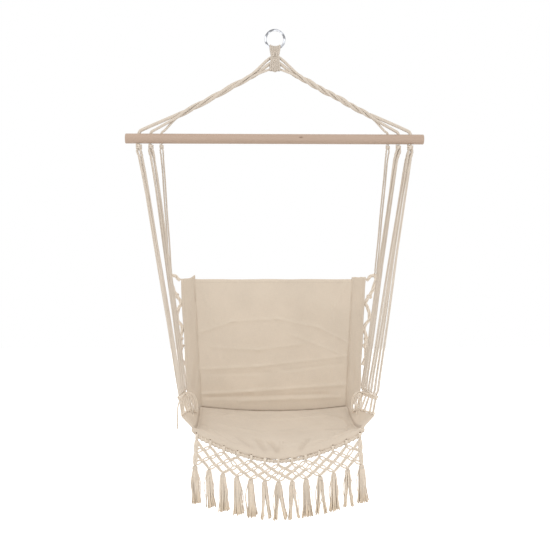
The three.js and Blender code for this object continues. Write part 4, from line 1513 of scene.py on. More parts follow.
def make_collar():
    """Cords looped over the ring's bottom wire, bound at the waist and crossed below it."""
    half = COLLAR_CORD / 2
    over = RING_WIRE / 2 + GAP + half + 0.0002
    depth = COLLAR_DEPTH / 2 - half
    routes = []
    for number in range(COLLAR_LOOPS):
        share = number / (COLLAR_LOOPS - 1) * 2 - 1
        wire = ring_angle_point(share * COLLAR_SPREAD)
        waist_x = share * (COLLAR_WAIST_WIDTH / 2 - half)
        legs = []
        for face in (-1, 1):
            low_x = -face * share * (COLLAR_KNOT_WIDTH / 2 - half)
            legs.append([
                (wire.x, face * over, wire.z - 0.001),
                (mix(wire.x, waist_x, 0.45), face * (depth - 0.001), SWING_Z - 0.009),
                (waist_x, face * depth * 0.9, SWING_Z - COLLAR_WAIST_DROP),
                (mix(waist_x, low_x, 0.5), face * depth, SWING_Z - 0.034),
                (low_x, face * depth, SWING_Z - COLLAR_KNOT_DROP),
                (low_x, face * depth * 0.9, SWING_Z - COLLAR_DROP + 0.004),
            ])
        front, rear = legs
        routes.append(smooth_route([*reversed(front), wire + UP * over, *rear], 6))
    routes.extend(collar_crossings())
    looped = cords("collar_cords_looped", routes, COLLAR_CORD, collar_material())
    tilted = Vector((COLLAR_WAIST_WIDTH / 2, 0, COLLAR_BINDING_TILT))
    behind = BACKWARDS * COLLAR_DEPTH / 2
    binding = [
        closed_turn(UP * (SWING_Z - drop), tilted, behind, 40) for drop in COLLAR_BINDING_DROPS
    ]
    bound = cords("collar_binding", binding, COLLAR_BINDING_CORD, collar_material())
    core = collar_core()
    core.data.uv_layers.new(name="cord")
    ready(merged("collar_cords", looped, bound, core), "hanger", "rope_cord", "hanging_collar")


def closed_turn(centre, right, up, count):
    """A closed oval round a centre that reaches right and up from it."""
    around = circle(count)
    return [centre + x * right + y * up for x, y in [*around, around[0]]]


def collar_crossings():
    """Cords that cross the collar's lower half to where the strands leave it."""
    depth = COLLAR_DEPTH / 2
    edge_x = COLLAR_KNOT_WIDTH / 2
    routes = []
    for face in (-1, 1):
        for rank in range(3):
            z = -TOP_STRAND_DROP - rank * STRAND_EXIT_PITCH
            for side, _ in SIDES:
                start_x = -side * (0.002 + 0.0035 * rank) * face
                stops = (
                    (start_x, face * (depth - 0.004), z + 0.019 - 0.003 * rank),
                    (side * 0.005, face * (depth + 0.0004 - 0.001 * rank), z + 0.007),
                    (side * (edge_x - 0.002), face * 0.0035, z + 0.0005),
                    (side * (edge_x + 0.001), face * 0.0022, z),
                )
                routes.append(smooth_route(stops, 6))
    return routes


# Pieces between the ring and the bar


def make_strands():
    """The strands of both hanging ropes, each of several cords drawn together."""
    for side, word in SIDES:
        for order, hole in enumerate(HOLES):
            count = hole["cords"]
            route = smooth_route(strand_route(side, order, TURNS[word]), 4)
            drawn = hole["strand"] * STRAND_BUNDLE_SHARE
            routes = bundle(route, count, drawn, STRAND_TURNS * side)
            cord = bundled_cord(count, hole["strand"]) * STRAND_CORD_SHARE
            strand = cords(f"strand_{word}_{hole['name']}", routes, cord, strand_material(cord))
            ready(strand, "hanger", "rope_cord", f"rope_strand_{word}_{hole['name']}")


def make_bar():
    """The round bar with eased ends and drilled holes."""
    half = BAR_LENGTH / 2
    end = []
    for share in shares(6):
        angle = math.pi / 2 * share
        x = half - BAR_EDGE_ROUND * (1 - math.cos(angle))
        end.append((x, BAR_DIAMETER / 2 - BAR_EDGE_ROUND * (1 - math.sin(angle))))
    stations = [(-x, radius) for x, radius in end]
    stations += [(mix(-half, half, share), BAR_DIAMETER / 2) for share in shares(24)[1:-1]]
    stations += reversed(end)
    rings = []
    for x, radius in stations:
        rings.append([Vector((x, radius * y, -BAR_DROP + radius * z)) for y, z in circle(64)])
    bar = loft("bar_wood", rings, wood_material())
    drill = bmesh.new()
    for side, _ in SIDES:
        for hole in HOLES:
            bore = (hole["strand"] + HOLE_CLEARANCE) / 2
            spot = Matrix.Translation((side * hole["x"], 0, -BAR_DROP))
            bmesh.ops.create_cone(drill, cap_ends=True, segments=32, radius1=bore, radius2=bore,
                                  depth=2 * BAR_DIAMETER, matrix=spot)
    cutter = object_of("drill", drill)
    cut = bar.modifiers.new("Holes", "BOOLEAN")
    cut.operation = "DIFFERENCE"
    cut.solver = "EXACT"
    cut.object = cutter
    apply_modifiers(bar)
    bpy.data.objects.remove(cutter)
    bar.data.set_sharp_from_angle(angle=math.radians(40))
    ready(bar, "hanger", "bar", "spreader_bar")


def make_stopper_knots():
    """Knots under the bar: windings of the strand round itself and one cord drawn across them."""
    for side, word in SIDES:
        for hole in HOLES:
            size = hole["knot"]
            cord = size * 0.27
            radius = size / 2 - cord / 2
            centre = Vector((side * hole["x"], 0, KNOT_LINE_Z))
            across = []
            for share in shares(12):
                angle = mix(-0.75, 0.75, share) * math.pi / 1.2
                way = Vector((side * math.sin(angle) * 0.3, -math.cos(angle), math.sin(angle)))
                across.append(centre + way * radius * 1.06)
            wound = helix(centre, radius * 0.93, cord * 0.95, 2.6)
            core = helix(centre, cord * 0.4, size * 0.3, 2.2)
            routes = [wound, across, core]
            knot = cords(f"knot_{word}_{hole['name']}", routes, cord, rope_material(cord))
            ready(knot, "hanger", "rope_cord", f"stopper_knot_{word}_{hole['name']}")


# Pieces under the bar


def make_fan_cords():
    """The cords from the stopper knots down to the seat and to the back's top corners."""
    outer, middle, inner = HOLES
    pitch = CORD_DIAMETER + 2 * GAP
    half = CORNER_CORD_DIAMETER / 2 + GAP
    for side, word in SIDES:
        rank = 0
        for hole, fan_shares in ((outer, FRONT_FAN_SHARES), (middle, REAR_FAN_SHARES)):
            for out_share, back_share in fan_shares:
                offset = Vector((side * out_share, back_share, 0)) * pitch
                target = row_place(side, rank)
                route = fan_route(side, hole, offset, CORD_DIAMETER, target, ROW_KNOT)
                route = bowed(route, RIGHT * FAN_BOWS[word][rank])
                rank += 1
                ends = f"{word}_{rank}"
                make_fan_cord(f"fan_cord_{ends}", route, CORD_DIAMETER, f"seat_cord_{ends}")
        for rank, way in ((1, -side), (2, side)):
            cord = CORNER_CORD_DIAMETER
            target = lace_top(side) + RIGHT * way * (half + GAP)
            route = fan_route(side, inner, RIGHT * way * half, cord, target, LACE_KNOT)
            ends = f"{word}_{rank}"
            make_fan_cord(f"corner_cord_{ends}", route, cord, f"back_cord_{ends}")


def bowed(route, bow):
    """A route that is moved by bow, most of all at three quarters of its length."""
    places = zip(route, shares(len(route) - 1))
    return [spot + bow * math.sin(math.pi * share**2.4) for spot, share in places]


def make_fan_cord(name, route, diameter, node):
    """One cord under the bar, made of three soft cords that turn slowly round each other."""
    routes = bundle(route, 3, diameter * 1.02, FAN_TURNS)
    strand = bundled_cord(3, diameter * 1.02)
    piece = cords(name, routes, strand * 1.14, rope_material(strand), 3, 3, 6)
    ready(piece, "seat", "rope_cord", node)


def pair_between(start, end, beside, spread, lift):
    """Two cords from start to end that part by spread and are moved by lift halfway."""
    routes = []
    for way in (-1, 1):
        points = []
        for share in shares(8):
            bow = math.sin(math.pi * share) ** 0.8
            off = beside * way * mix(0.0011, spread, bow)
            points.append(start.lerp(end, share) + off + lift * bow)
        routes.append(points)
    return routes


def make_side_macrame():
    """A row of knots on each side, the doubled legs under it and the hem cord on the wing."""
    random.seed(41)
    cord = MACRAME_CORD
    heavy_cord = MACRAME_HEAVY_CORD
    askew = (RIGHT + BACKWARDS).normalized()
    inset = ROW_END_INSET / 2
    for side, word in SIDES:
        routes = []
        thick = []
        for rank in range(ROW_COUNT):
            spot = row_place(side, rank)
            turn = random.uniform(-0.4, 0.4)
            thick.append(overhand(spot, ROW_KNOT * 1.2, heavy_cord, BACKWARDS, UP, turn))
            outside = spot + RIGHT * side * 0.002
            thick.append(overhand(outside, ROW_KNOT, heavy_cord, RIGHT, UP, turn))
            if rank + 1 < ROW_COUNT:
                sag = -UP * random.uniform(0.001, 0.003)
                routes += pair_between(spot, row_place(side, rank + 1), UP, ROW_SPREAD, sag)
        for rank, lean in zip(LEG_RANKS, LEG_LEANS):
            spot = row_place(side, rank)
            foot = hem_place(side, spot.y + lean * ROW_PITCH / 2)
            start = spot - UP * ROW_KNOT * 0.3
            routes += pair_between(start, foot, askew, LEG_SPREAD, Vector())
            routes.append(helix(foot, HEM_DIAMETER / 2 + cord * 0.2, cord * 1.02, 2, BACKWARDS))
        hem = []
        for share in shares(24):
            hem.append(hem_place(side, mix(SEAT_REAR_Y - inset, SEAT_FRONT_Y + inset, share)))
        thick.append(hem)
        for loop in rear_loops(side):
            for way in (-1, 1):
                routes.append([spot + RIGHT * way * LOOP_HALF_SPREAD for spot in loop])
        if side < 0:
            routes.append(loose_end(side))
        fine = cords("macrame_fine", routes, cord, knotted_material(cord), 2, 4, 7)
        material = knotted_material(heavy_cord, 3)
        heavy = cords("macrame_heavy", thick, heavy_cord, material, 3, 3, 7)
        whole = merged(f"macrame_{word}", fine, heavy)
        ready(whole, "seat", "macrame_cord", f"side_macrame_{word}")


def hem_place(side, y):
    """The middle of the hem cord that lies on the wing's top edge."""
    return wing_top(side, y) + UP * (GAP + HEM_DIAMETER / 2)


def rear_loops(side):
    """The two long loops of cord that hang from the row's rear knot down to the seat's side."""
    last = row_place(side, ROW_COUNT - 1)
    ways = (
        ((0.262, 0.086, -1.097), (0.246, 0.066, -1.106), (0.2375, 0.046, -1.132),
         (0.2395, 0.030, -1.152), (0.2455, 0.032, -1.146), (0.2490, 0.050, -1.122),
         (0.258, 0.072, -1.104)),
        ((0.264, 0.070, -1.104), (0.256, 0.030, -1.128), (0.246, -0.030, -1.158),
         (0.2415, -0.062, -1.168), (0.2475, -0.056, -1.160), (0.259, 0.000, -1.136),
         (0.266, 0.052, -1.110)),
    )
    loops = []
    for way in ways:
        stops = [last, *((side * x, y, z) for x, y, z in way), last]
        loops.append(smooth_route(stops, 5))
    return loops


def loose_end(side):
    """The tail of a cord that hangs outside the wing."""
    start = row_place(side, 1) + Vector((side * 0.001, 0.002, -0.006))
    stops = (
        (0, 0, 0),
        (0.006, 0.001, -0.014),
        (0.009, 0.001, -0.034),
        (0.0085, 0.001, -0.062),
        (0.009, 0.001, -0.084),
    )
    return smooth_route([start + Vector((side * x, y, z)) for x, y, z in stops], 5)


def make_lacing():
    """The cord that ties each side of the back to the ropes, with its knots."""
    for side, word in SIDES:
        stops = lace_route(side)
        routes = bundle(smooth_route(stops, 8), 3, LACE_DIAMETER * 1.8, 5)
        cord = bundled_cord(3, LACE_DIAMETER * 2)
        single = cords("lace_line", routes, cord, knotted_material(cord), 2, 4, 8)
        knots = []
        for number, stop in enumerate(LACE_KNOT_STOPS):
            spot = stops[stop]
            size = LACE_KNOT * 1.4
            knots.append(overhand(spot, size, LACE_KNOT_CORD, RIGHT, UP, number * 0.7))
            knots.append(helix(spot, 0.002, 0.0044, 2))
        material = knotted_material(LACE_KNOT_CORD, 3)
        tied = cords("lace_knots", knots, LACE_KNOT_CORD, material, 3, 3, 8)
        lacing = merged(f"lacing_{word}", single, tied)
        ready(lacing, "seat", "macrame_cord", f"back_lacing_{word}")


# The back and its bands


def back_shape(spot, normal):
    """Folds, hem and unevenness of the back."""
    amount = 0.0013 * soft_noise(spot, 0.11, 3) + 0.0006 * soft_noise(spot, 0.035, 5)
    for *fold, depth in BACK_FOLDS:
        amount += BACK_FOLD_SHARE * depth * fold_share(spot.x, spot.z, *fold)
    hem_line = bump_of(spot.z + BACK_TOP_DROP + HEM_STITCH_DROP, 0.0016)
    return amount - 0.0002 * hem_line


def tucked(place, reach, behind=0.0):
    """The same place with its sides and rear reaching further out, into the seams beside them."""

    def wider(width, length):
        middle, way, *fill = place(width, length)
        middle.x += reach * width
        middle.y += behind * max(0, 1 - length / 0.08)
        return (middle, way, *fill)

    return wider


def make_back():
    """The padded back, with a hem along its top."""
    place = tucked(back_place, 0.005)
    back = pad("back_canvas", place, 36, 36, BACK_THICKNESS - 0.005, 0.4)
    remesh(back)
    inflate(back, BACK_CAP, back_hold)
    subdivide(back)
    push(back, back_shape)
    cloth_uv(back, lambda spot: (spot.x, spot.z))
    paint_seam_shade(back, back_painted_shade)
    ready(back, "seat", "canvas", "back_panel")
    z = -BACK_TOP_DROP - HEM_STITCH_DROP
    hem = [Vector((mix(-0.242, 0.242, share), 0, z)) for share in shares(60)]
    sew("hem_stitches", [surface_line(back, hem, -BACKWARDS)])


def back_hold(spot):
    """How firmly the back is held: by its bands, its hem and the seam at its foot."""
    side = back_half_width(spot.z) - abs(spot.x)
    nearest = min(side, -BACK_TOP_DROP - spot.z, spot.z + BACK_BOTTOM_DROP)
    return edge_hold(nearest)


def edge_hold(distance):
    """How firmly a seam holds the cloth at that distance from it."""
    return within(1 - (distance - HELD_RIM) / HELD_RIM)


def back_half_width(z):
    """Half the back's width at that height."""
    height = (z + BACK_BOTTOM_DROP) / (BACK_BOTTOM_DROP - BACK_TOP_DROP)
    return mix(BACK_BOTTOM_HALF_WIDTH, BACK_TOP_HALF_WIDTH, height)


def back_painted_shade(spot):
    """Painted shade in the seams of the back: beside its bands and where it meets the seat."""
    across = min(1, abs(spot.x) / BACK_BOTTOM_HALF_WIDTH)
    seat_z = -SEAT_REAR_DROP - SEAT_REAR_DIP * (1 - across * across)
    foot = bump_of(max(0, spot.z - seat_z + SEAT_RIM_DROP), THIN_SEAM_SHADE)
    side = bump_of(max(0, back_half_width(spot.z) - abs(spot.x)), SIDE_SEAM_SHADE)
    return max(foot, 0.2 * side)


def surface_line(piece, points, facing):
    """The points dropped onto the side of a piece that faces that way."""
    faces = [tuple(face.vertices) for face in piece.data.polygons]
    tree = BVHTree.FromPolygons([point.co for point in piece.data.vertices], faces)
    line = []
    for spot in points:
        hit, normal, _, _ = tree.ray_cast(spot + facing, -facing)
        if hit is not None:
            line.append(hit + normal * 0.0001)
    return line


def sew(name, lines):
    """Rows of stitches along lines."""
    settings = bpy.context.scene.hammock_cloth
    values = {
        "Pitch": settings.stitch_pitch,
        "Width": settings.stitch_width,
        "Seed": 7,
        "Material": thread_material(),
    }
    ready(grown(name, lines, stitch_tree(), values), "seat", "canvas")


def band_place(side):
    """The middle cloth of a side band of the back."""

    def place(width, height):
        edge, way = back_place(side, height)
        edge.x += side * (GAP + (1 + side * width) / 2 * BAND_WIDTH)
        return edge, way

    return place


def band_painted_shade(spot):
    """Painted shade in the seam between a band and the back, over cloth that has a little painted
    shade throughout.
    """
    beside = max(0, abs(spot.x) - back_half_width(spot.z) - GAP)
    return max(0.16, 0.2 * bump_of(beside, SIDE_SEAM_SHADE))


def fold_over(band, side, inner_x):
    """Draws up a peak at the top of a band and takes in its foot."""
    points = points_of(band)
    for point in points:
        near_top = max(0.0, 1 - (-BACK_TOP_DROP - point[2]) / 0.03)
        peak = bump_of(abs(point[0]) - inner_x, 0.012) if side < 0 else 0.45
        point[2] += BAND_PEAK * near_top * peak
        near_foot = within((BAND_TAPER_Z - point[2]) / BAND_TAPER_LENGTH)
        beyond = abs(point[0]) - back_half_width(point[2])
        point[0] -= math.copysign(BAND_TAPER_SHARE * near_foot**2 * max(0, beyond), point[0])
    set_points(band, points)


def make_bands():
    """The sewn sleeves down both sides of the back, with a peak where they are folded over."""
    inner_x = BACK_TOP_HALF_WIDTH + GAP
    for side, word in SIDES:
        place = band_place(side)
        band = pad(f"band_{word}", place, 16, 48, BAND_THICKNESS, BAND_RIM_SHARE)
        subdivide(band)

        def shape(spot, normal):
            drawn_out = Vector((spot.x, spot.y, spot.z / 5))
            amount = 0.0009 * soft_noise(spot, 0.05, 11 + side)
            amount += 0.0019 * soft_noise(drawn_out, 0.013, 12 + side)
            seam_x = inner_x + BAND_WIDTH * BAND_SEAM_SHARES[1]
            return amount - 0.0006 * bump_of(abs(spot.x) - seam_x, 0.0016)

        push(band, shape)
        fold_over(band, side, inner_x)
        cloth_uv(band, lambda spot: (spot.x, spot.z))
        paint_seam_shade(band, band_painted_shade)
        ready(band, "seat", "canvas", f"back_band_{word}")
        lines = []
        for seam_share in BAND_SEAM_SHARES:
            width = side * (2 * seam_share - 1)
            line = [place(width, mix(0.02, 0.985, share))[0] for share in shares(59)]
            lines.append(surface_line(band, line, -BACKWARDS))
        sew(f"band_stitches_{word}", lines)


# The seat, its wings and its binding


def seat_shape(spot, normal):
    """The puffed lip, the folds before it and the unevenness of the seat."""
    amount = 0.0010 * soft_noise(spot, 0.10, 17) + 0.0005 * soft_noise(spot, 0.03, 19)
    behind = spot.y - LIP_REAR_Y
    if normal.z < -0.3 and behind > 0:
        return amount
    amount -= 0.0026 * bump_of(behind - 0.016, 0.010)
    amount += 0.0030 * bump_of(behind + 0.018, 0.018)
    for *fold, lift in SEAT_FOLDS:
        amount += SEAT_FOLD_SHARE * lift * fold_share(spot.x, spot.y, *fold)
    pucker = 0.0009 * math.sin(spot.x / 0.0052 + 2 * soft_noise(spot, 0.05, 23))
    return amount + pucker * bump_of(spot.z - edge_z(spot.x) - 0.004, 0.009)


def seat_flat(spot):
    """Where a point of the seat lies on its flat cloth."""
    if spot.y > LIP_REAR_Y:
        return spot.x, spot.y
    return spot.x, LIP_REAR_Y - (LIP_REAR_Y - spot.y) * 0.4 + (spot.z + SEAT_CORNER_DROP)


def make_seat():
    """The padded seat with its rolled front lip."""
    place = tucked(seat_place, 0.004, 0.005)
    seat = pad("seat_canvas", place, 40, 48, SEAT_THICKNESS - 0.006, 0.4)
    remesh(seat)
    inflate(seat, SEAT_CAP, seat_hold)
    subdivide(seat)
    push(seat, seat_shape)
    cloth_uv(seat, seat_flat)
    paint_seam_shade(seat, seat_painted_shade)
    ready(seat, "seat", "canvas", "seat_pad")
    sew("seat_stitches", [surface_line(seat, line, UP) for line in seat_seams()])


def seat_hold(spot):
    """How firmly the seat is held: by its wings, by the back and by the binding."""
    side = seat_half_width(spot.y) - abs(spot.x)
    front = spot.z - edge_z(spot.x) if spot.y < SEAT_FRONT_Y + LIP_DEPTH / 2 else 1
    return edge_hold(min(side, SEAT_REAR_Y - spot.y, front - BINDING_DIAMETER / 2))


def seat_painted_shade(spot):
    """Painted shade of the seat: along its rear and beside its wings, in the valleys of its folds, on
    its lip and crest, and a little all over.
    """
    rear = bump_of(max(0, SEAT_REAR_Y - 0.001 - spot.y), THIN_SEAM_SHADE)
    side = 0.7 * bump_of(max(0, seat_half_width(spot.y) - abs(spot.x)), 0.0018)
    fades = within((spot.y - SEAT_FRONT_Y - 0.02) / 0.05)
    # The lip faces the lamps, and it and the crest behind it get painted shade that tones them down
    crest = 0.12 * bump_of(spot.y - LIP_REAR_Y - 0.014, 0.009)
    folded = [fold_share(spot.x, spot.y, *fold) for *fold, lift in SEAT_FOLDS if lift < 0]
    lip = 0.06 * within((LIP_REAR_Y + 0.02 - spot.y) / 0.03)
    return max(rear, side * fades, crest, 0.12 + lip + 0.16 * max(folded))


def seat_seams():
    """The seams along the seat's sides."""
    lines = []
    for side, _ in SIDES:
        line = []
        for share in shares(69):
            y = mix(SEAT_REAR_Y - 0.012, SEAT_FRONT_Y + 0.03, share)
            line.append(Vector((side * (seat_half_width(y) - 0.009), y, 0)))
        lines.append(line)
    return lines


def wing_place(side):
    """The middle cloth of a raised side edge of the seat."""
    rim = WING_RIM_SHARE * WING_THICKNESS / 2

    def place(width, length):
        y = mix(SEAT_REAR_Y - WING_THICKNESS, SEAT_FRONT_Y + LIP_DEPTH / 2, length)
        foot_x = seat_half_width(y) - WING_TUCK
        foot = Vector((side * foot_x, y, seat_side_z(y)))
        top = wing_top(side, y)
        rise = top - foot
        way = Vector((-side * rise.z, 0, abs(rise.x))).normalized()
        top.z -= rim * way.z
        return foot.lerp(top, (1 + width) / 2), way

    return place


def wing_painted_shade(spot):
    """Painted shade in the seam between a wing and the seat."""
    fades = within((spot.y - SEAT_FRONT_Y - 0.03) / 0.05)
    return 0.7 * fades * bump_of(max(0, abs(spot.x) - seat_half_width(spot.y)), 0.0022)


def make_wings():
    """The raised cloth edges beside the seat, gathered on their hem cord."""
    reach = WING_REAR_X - SEAT_FRONT_HALF_WIDTH
    for side, word in SIDES:
        wing = pad(f"wing_{word}", wing_place(side), 14, 90, WING_THICKNESS * 0.72, 0.5)
        subdivide(wing)

        def shape(spot, normal):
            up_share = within((abs(spot.x) - SEAT_FRONT_HALF_WIDTH) / reach)
            gather = math.sin(2 * math.pi * (spot.y - SEAT_FRONT_Y) / (ROW_PITCH / 2))
            return 0.0008 * gather * up_share + 0.0006 * soft_noise(spot, 0.03, 29 + side)

        push(wing, shape)
        cloth_uv(wing, lambda spot: (spot.y, spot.z))
        paint_seam_shade(wing, wing_painted_shade)
        ready(wing, "seat", "canvas", f"seat_wing_{word}")


def make_binding():
    """The rolled binding of the front edge, puckered between its hitches, with holes shown as dark
    discs of painted shade.
    """
    inwards, behind, above = BINDING_CURL
    route = []
    for share in shares(420):
        x = mix(-SEAT_FRONT_HALF_WIDTH, SEAT_FRONT_HALF_WIDTH, share)
        curl = max(0, 1 - (SEAT_FRONT_HALF_WIDTH - abs(x)) / BINDING_CURL_LENGTH) ** 2
        reach = Vector((-math.copysign(inwards, x), behind, above)) * curl
        route.append(Vector((x, SEAT_FRONT_Y, edge_z(x))) + reach)
    hitches = [net_place(0, column).x for column in range(NET_COLUMNS)]

    def ring_at(index):
        x = route[index].x
        drawn = sum(bump_of(x - hitch, 0.0042) for hitch in hitches)
        pucker = math.sin(x / 0.0011 + 3 * noise.noise(Vector((x * 60, 0, 0))))
        radius = BINDING_DIAMETER / 2 - 0.0007 * drawn + BINDING_PUCKER * pucker
        return [(radius * 0.86 * beside, radius * 1.04 * up) for beside, up in circle(20)]

    binding = swept("binding_roll", route, ring_at, canvas_material())
    cloth_uv(binding, lambda spot: (spot.x, spot.z + spot.y))
    ready(binding, "seat", "canvas", "seat_binding")
    make_whipping(route)
    make_eyelets(hitches)


def make_whipping(route):
    """The cord that is wound round the binding and through the lip."""
    cord = bpy.context.scene.hammock_cords.net_cord * 0.9
    radius = BINDING_DIAMETER / 2 * 1.02
    steps = 10
    turns = round(2 * SEAT_FRONT_HALF_WIDTH / WHIPPING_PITCH)
    frames = frames_along(route)
    wound = []
    for step in range(turns * steps + 1):
        at = (len(route) - 1) * step / (turns * steps)
        index = min(int(at), len(route) - 2)
        spot = route[index].lerp(route[index + 1], at - index)
        angle = 2 * math.pi * step / steps
        up, beside = frames[index]
        wound.append(spot + radius * (math.cos(angle) * up + math.sin(angle) * beside))
    routes = [smooth_route(wound, 2)]
    whipping = cords("binding_whipping", routes, cord, knotted_material(cord), 2, 3, 6)
    ready(whipping, "seat", "macrame_cord")


def make_eyelets(hitches):
    """Small holes through the lip above the binding, each shown as a flat dark disc of painted shade
    with a sewn rim.
    """
    rims = []
    holes = bmesh.new()
    for x in hitches:
        middle = above_edge(x, BINDING_DIAMETER * 0.9) - BACKWARDS * BINDING_DIAMETER * 0.36
        rims.append(closed_turn(middle, EYELET_RADIUS * RIGHT, EYELET_RADIUS * UP, 16))
        spot = Matrix.Translation(middle + BACKWARDS * 0.0002)
        flat = Matrix.Rotation(math.pi / 2, 4, "X") @ Matrix.Diagonal((1.0, 1.0, 0.25, 1.0))
        bmesh.ops.create_uvsphere(holes, u_segments=12, v_segments=6,
                                  radius=EYELET_HOLE_RADIUS, matrix=spot @ flat)
    dark = object_of("eyelet_holes", holes, hole_shade_material())
    dark.data.shade_smooth()
    ready(dark, "seat", "canvas")
    rim = cords("eyelet_rims", rims, EYELET_THREAD, knotted_material(EYELET_THREAD), 2, 3, 6)
    ready(rim, "seat", "canvas")


# Net and tassels


def net_links():
    """The net's links: their upper and lower knot, and whether the pair of cords lies tight."""
    links = []
    for row in range(NET_ROWS):
        shift = -1 if row % 2 == 0 else 0
        for column in range(net_count(row)):
            for step in (0, 1):
                target = column + shift + step
                if 0 <= target < net_count(row + 1):
                    tight = (step == 1) == (column < NET_COLUMNS / 2)
                    links.append((net_place(row, column), net_place(row + 1, target), tight))
    return links


def make_net():
    """The knotted net of doubled cords under the binding."""
    random.seed(7)
    cord = bpy.context.scene.hammock_cords.net_cord
    material = knotted_material(cord, 3)
    out = -BACKWARDS
    routes = []
    for upper, lower, tight in net_links():
        along = (lower - upper).normalized()
        beside = along.cross(out).normalized()
        tight = tight if random.random() < 0.85 else not tight
        spread = random.uniform(*(NET_TIGHT_SPREAD if tight else NET_OPEN_SPREAD))
        inset = along * NET_KNOT * 0.22
        bend = beside * random.uniform(-0.0012, 0.0012) + out * random.uniform(-0.0006, 0.0006)
        routes += pair_between(upper + inset, lower - inset, beside, spread, bend)
    for column in (0, NET_COLUMNS - 1):
        for row in (0, 2):
            routes += side_cords(net_place(row, column), net_place(row + 2, column))
    knots = []
    for row in range(NET_ROWS + 1):
        for column in range(net_count(row)):
            spot = net_place(row, column)
            turn = random.uniform(-0.5, 0.5)
            size = NET_KNOT * random.uniform(0.98, 1.1)
            knots.append(overhand(spot, size, cord, RIGHT, UP, turn))
            if row == 0:
                knots += hitch(spot, cord)
    fine = cords("net_links", routes, cord, material, 3, 3, 7)
    tied = cords("net_knots", knots, cord, material, 3, 3, 7)
    ready(merged("net_cords", fine, tied), "seat", "macrame_cord", "front_net")


def side_cords(upper, lower):
    """The loose bundle of cords down each side of the net."""
    routes = []
    for number in range(NET_SIDE_CORDS):
        points = []
        for share in shares(10):
            swell = mix(0.45, 1, math.sin(math.pi * share) ** 0.5)
            turn = 2 * math.pi * number / NET_SIDE_CORDS + 1.4 * share
            way = Vector((math.cos(turn), math.sin(turn) * 0.7, 0))
            points.append(upper.lerp(lower, share) + way * NET_SIDE_RADIUS * swell)
        routes.append(points)
    return routes


def hitch(spot, cord):
    """Two loops of cord over the binding, from a knot of the net's top row."""
    radius = BINDING_DIAMETER / 2 + cord / 2
    middle = Vector((spot.x, SEAT_FRONT_Y, edge_z(spot.x)))
    loops = []
    for way in (-1, 1):
        route = [spot + Vector((way * 0.001, -0.001, 0.001))]
        for share in shares(6):
            angle = mix(-0.35, 0.55, share) * math.pi
            x = way * mix(0.0016, 0.0012, share)
            off = Vector((x, -radius * math.cos(angle), radius * 1.04 * math.sin(angle)))
            route.append(middle + off)
        loops.append(smooth_route(route, 3))
    return loops


def tassel_share(down):
    """The share of its foot's width that a tassel has there."""
    spans = zip(TASSEL_DROPS, TASSEL_DROPS[1:], TASSEL_WIDTHS, TASSEL_WIDTHS[1:])
    for start, end, wide, wider in spans:
        if down <= end:
            return mix(wide, wider, (down - start) / (end - start))
    return 1


def tassel_routes(column):
    """The yarns of one tassel."""
    draw = random.Random(500 + column)
    top = net_place(NET_ROWS, column) - UP * NET_KNOT * 0.3
    lean = TASSEL_LEANS[column] * 0.55
    foot = TASSEL_FEET[column] * 1.15
    routes = []
    for _ in range(bpy.context.scene.hammock_cords.tassel_yarns):
        angle = draw.uniform(0, 2 * math.pi)
        out = math.sqrt(draw.random())
        low_x = out * math.cos(angle)
        low_y = out * math.sin(angle) * 0.8
        part_x = low_x
        if column in SPLIT_TASSELS:
            part_x = math.copysign(mix(0.4, 1, abs(low_x)), low_x - 0.15)
        wave = draw.uniform(-0.0018, 0.0018)
        phase = draw.uniform(0, 2 * math.pi)
        length = TASSEL_LENGTH * draw.uniform(0.9, 0.985) * (1 - 0.03 * low_x)
        stray = math.copysign(0.007, low_x) if draw.random() < 0.06 else 0
        points = []
        for share in shares(12):
            width = foot * tassel_share(share)
            curve = math.sin(phase + 5 * share) + 0.4 * math.sin(3 * phase + 14 * share)
            drift = wave * curve * share
            apart = mix(low_x, part_x, within((share - 0.35) / 0.4))
            x = lean * share**1.3 + width * apart + drift
            x += stray * math.sin(math.pi * share) ** 2
            y = width * low_y * 0.85 + drift * 0.5
            points.append(top + Vector((x, y, -length * share)))
        routes.append(points)
    return routes


def make_tassels():
    """The thirteen tassels of loose yarns under the net."""
    diameter = bpy.context.scene.hammock_cords.tassel_yarn
    for column in range(NET_COLUMNS):
        number = f"{column + 1:02d}"
        loose = yarns("tassel_loose", tassel_routes(column), diameter, tassel_material())
        below = net_place(NET_ROWS, column) - UP * (NET_KNOT * 0.3 + 0.0065)
        neck = helix(below, NECK_RADIUS, 0.0026, 3.2)
        wrap = cords("tassel_wrap", [neck], NECK_CORD, knotted_material(NECK_CORD), 2, 3, 8)
        tassel = merged(f"tassel_yarns_{number}", loose, wrap)
        ready(tassel, f"tassel_{number}_body", "macrame_cord", f"tassel_{number}")


# Stage


def add_lamp(name, place, size, power):
    """A large, square, soft lamp that shines at the middle of the chair."""
    data = bpy.data.lights.new(name, "AREA")
    data.size = size
    data.energy = power
    lamp = new_object(name, data)
    lamp.location = place
    aim = Vector((0, 0, -0.8)) - Vector(place)
    lamp.rotation_euler = aim.to_track_quat("-Z", "Y").to_euler()


def add_camera(settings):
    """The camera in front of the chair, level and almost square on as in the photograph."""
    data = bpy.data.cameras.new("camera")
    data.sensor_width = 36
    data.lens = data.sensor_width * settings.camera_distance / settings.view_width
    camera = new_object("camera", data)
    turn = settings.camera_turn
    x = -settings.camera_distance * math.sin(turn)
    y = -settings.camera_distance * math.cos(turn)
    camera.location = (x, y, settings.camera_height)
    camera.rotation_euler = (math.pi / 2, 0, -turn)
    bpy.context.scene.camera = camera


def seen_directly(tree):
    """1 for rays that show the surroundings themselves, 0 for rays that carry their light."""
    rays = tree.add("ShaderNodeLightPath").outputs
    kinds = ("Is Camera Ray", "Is Glossy Ray", "Is Transmission Ray")
    return tree.many("MAXIMUM", *(rays[kind] for kind in kinds))


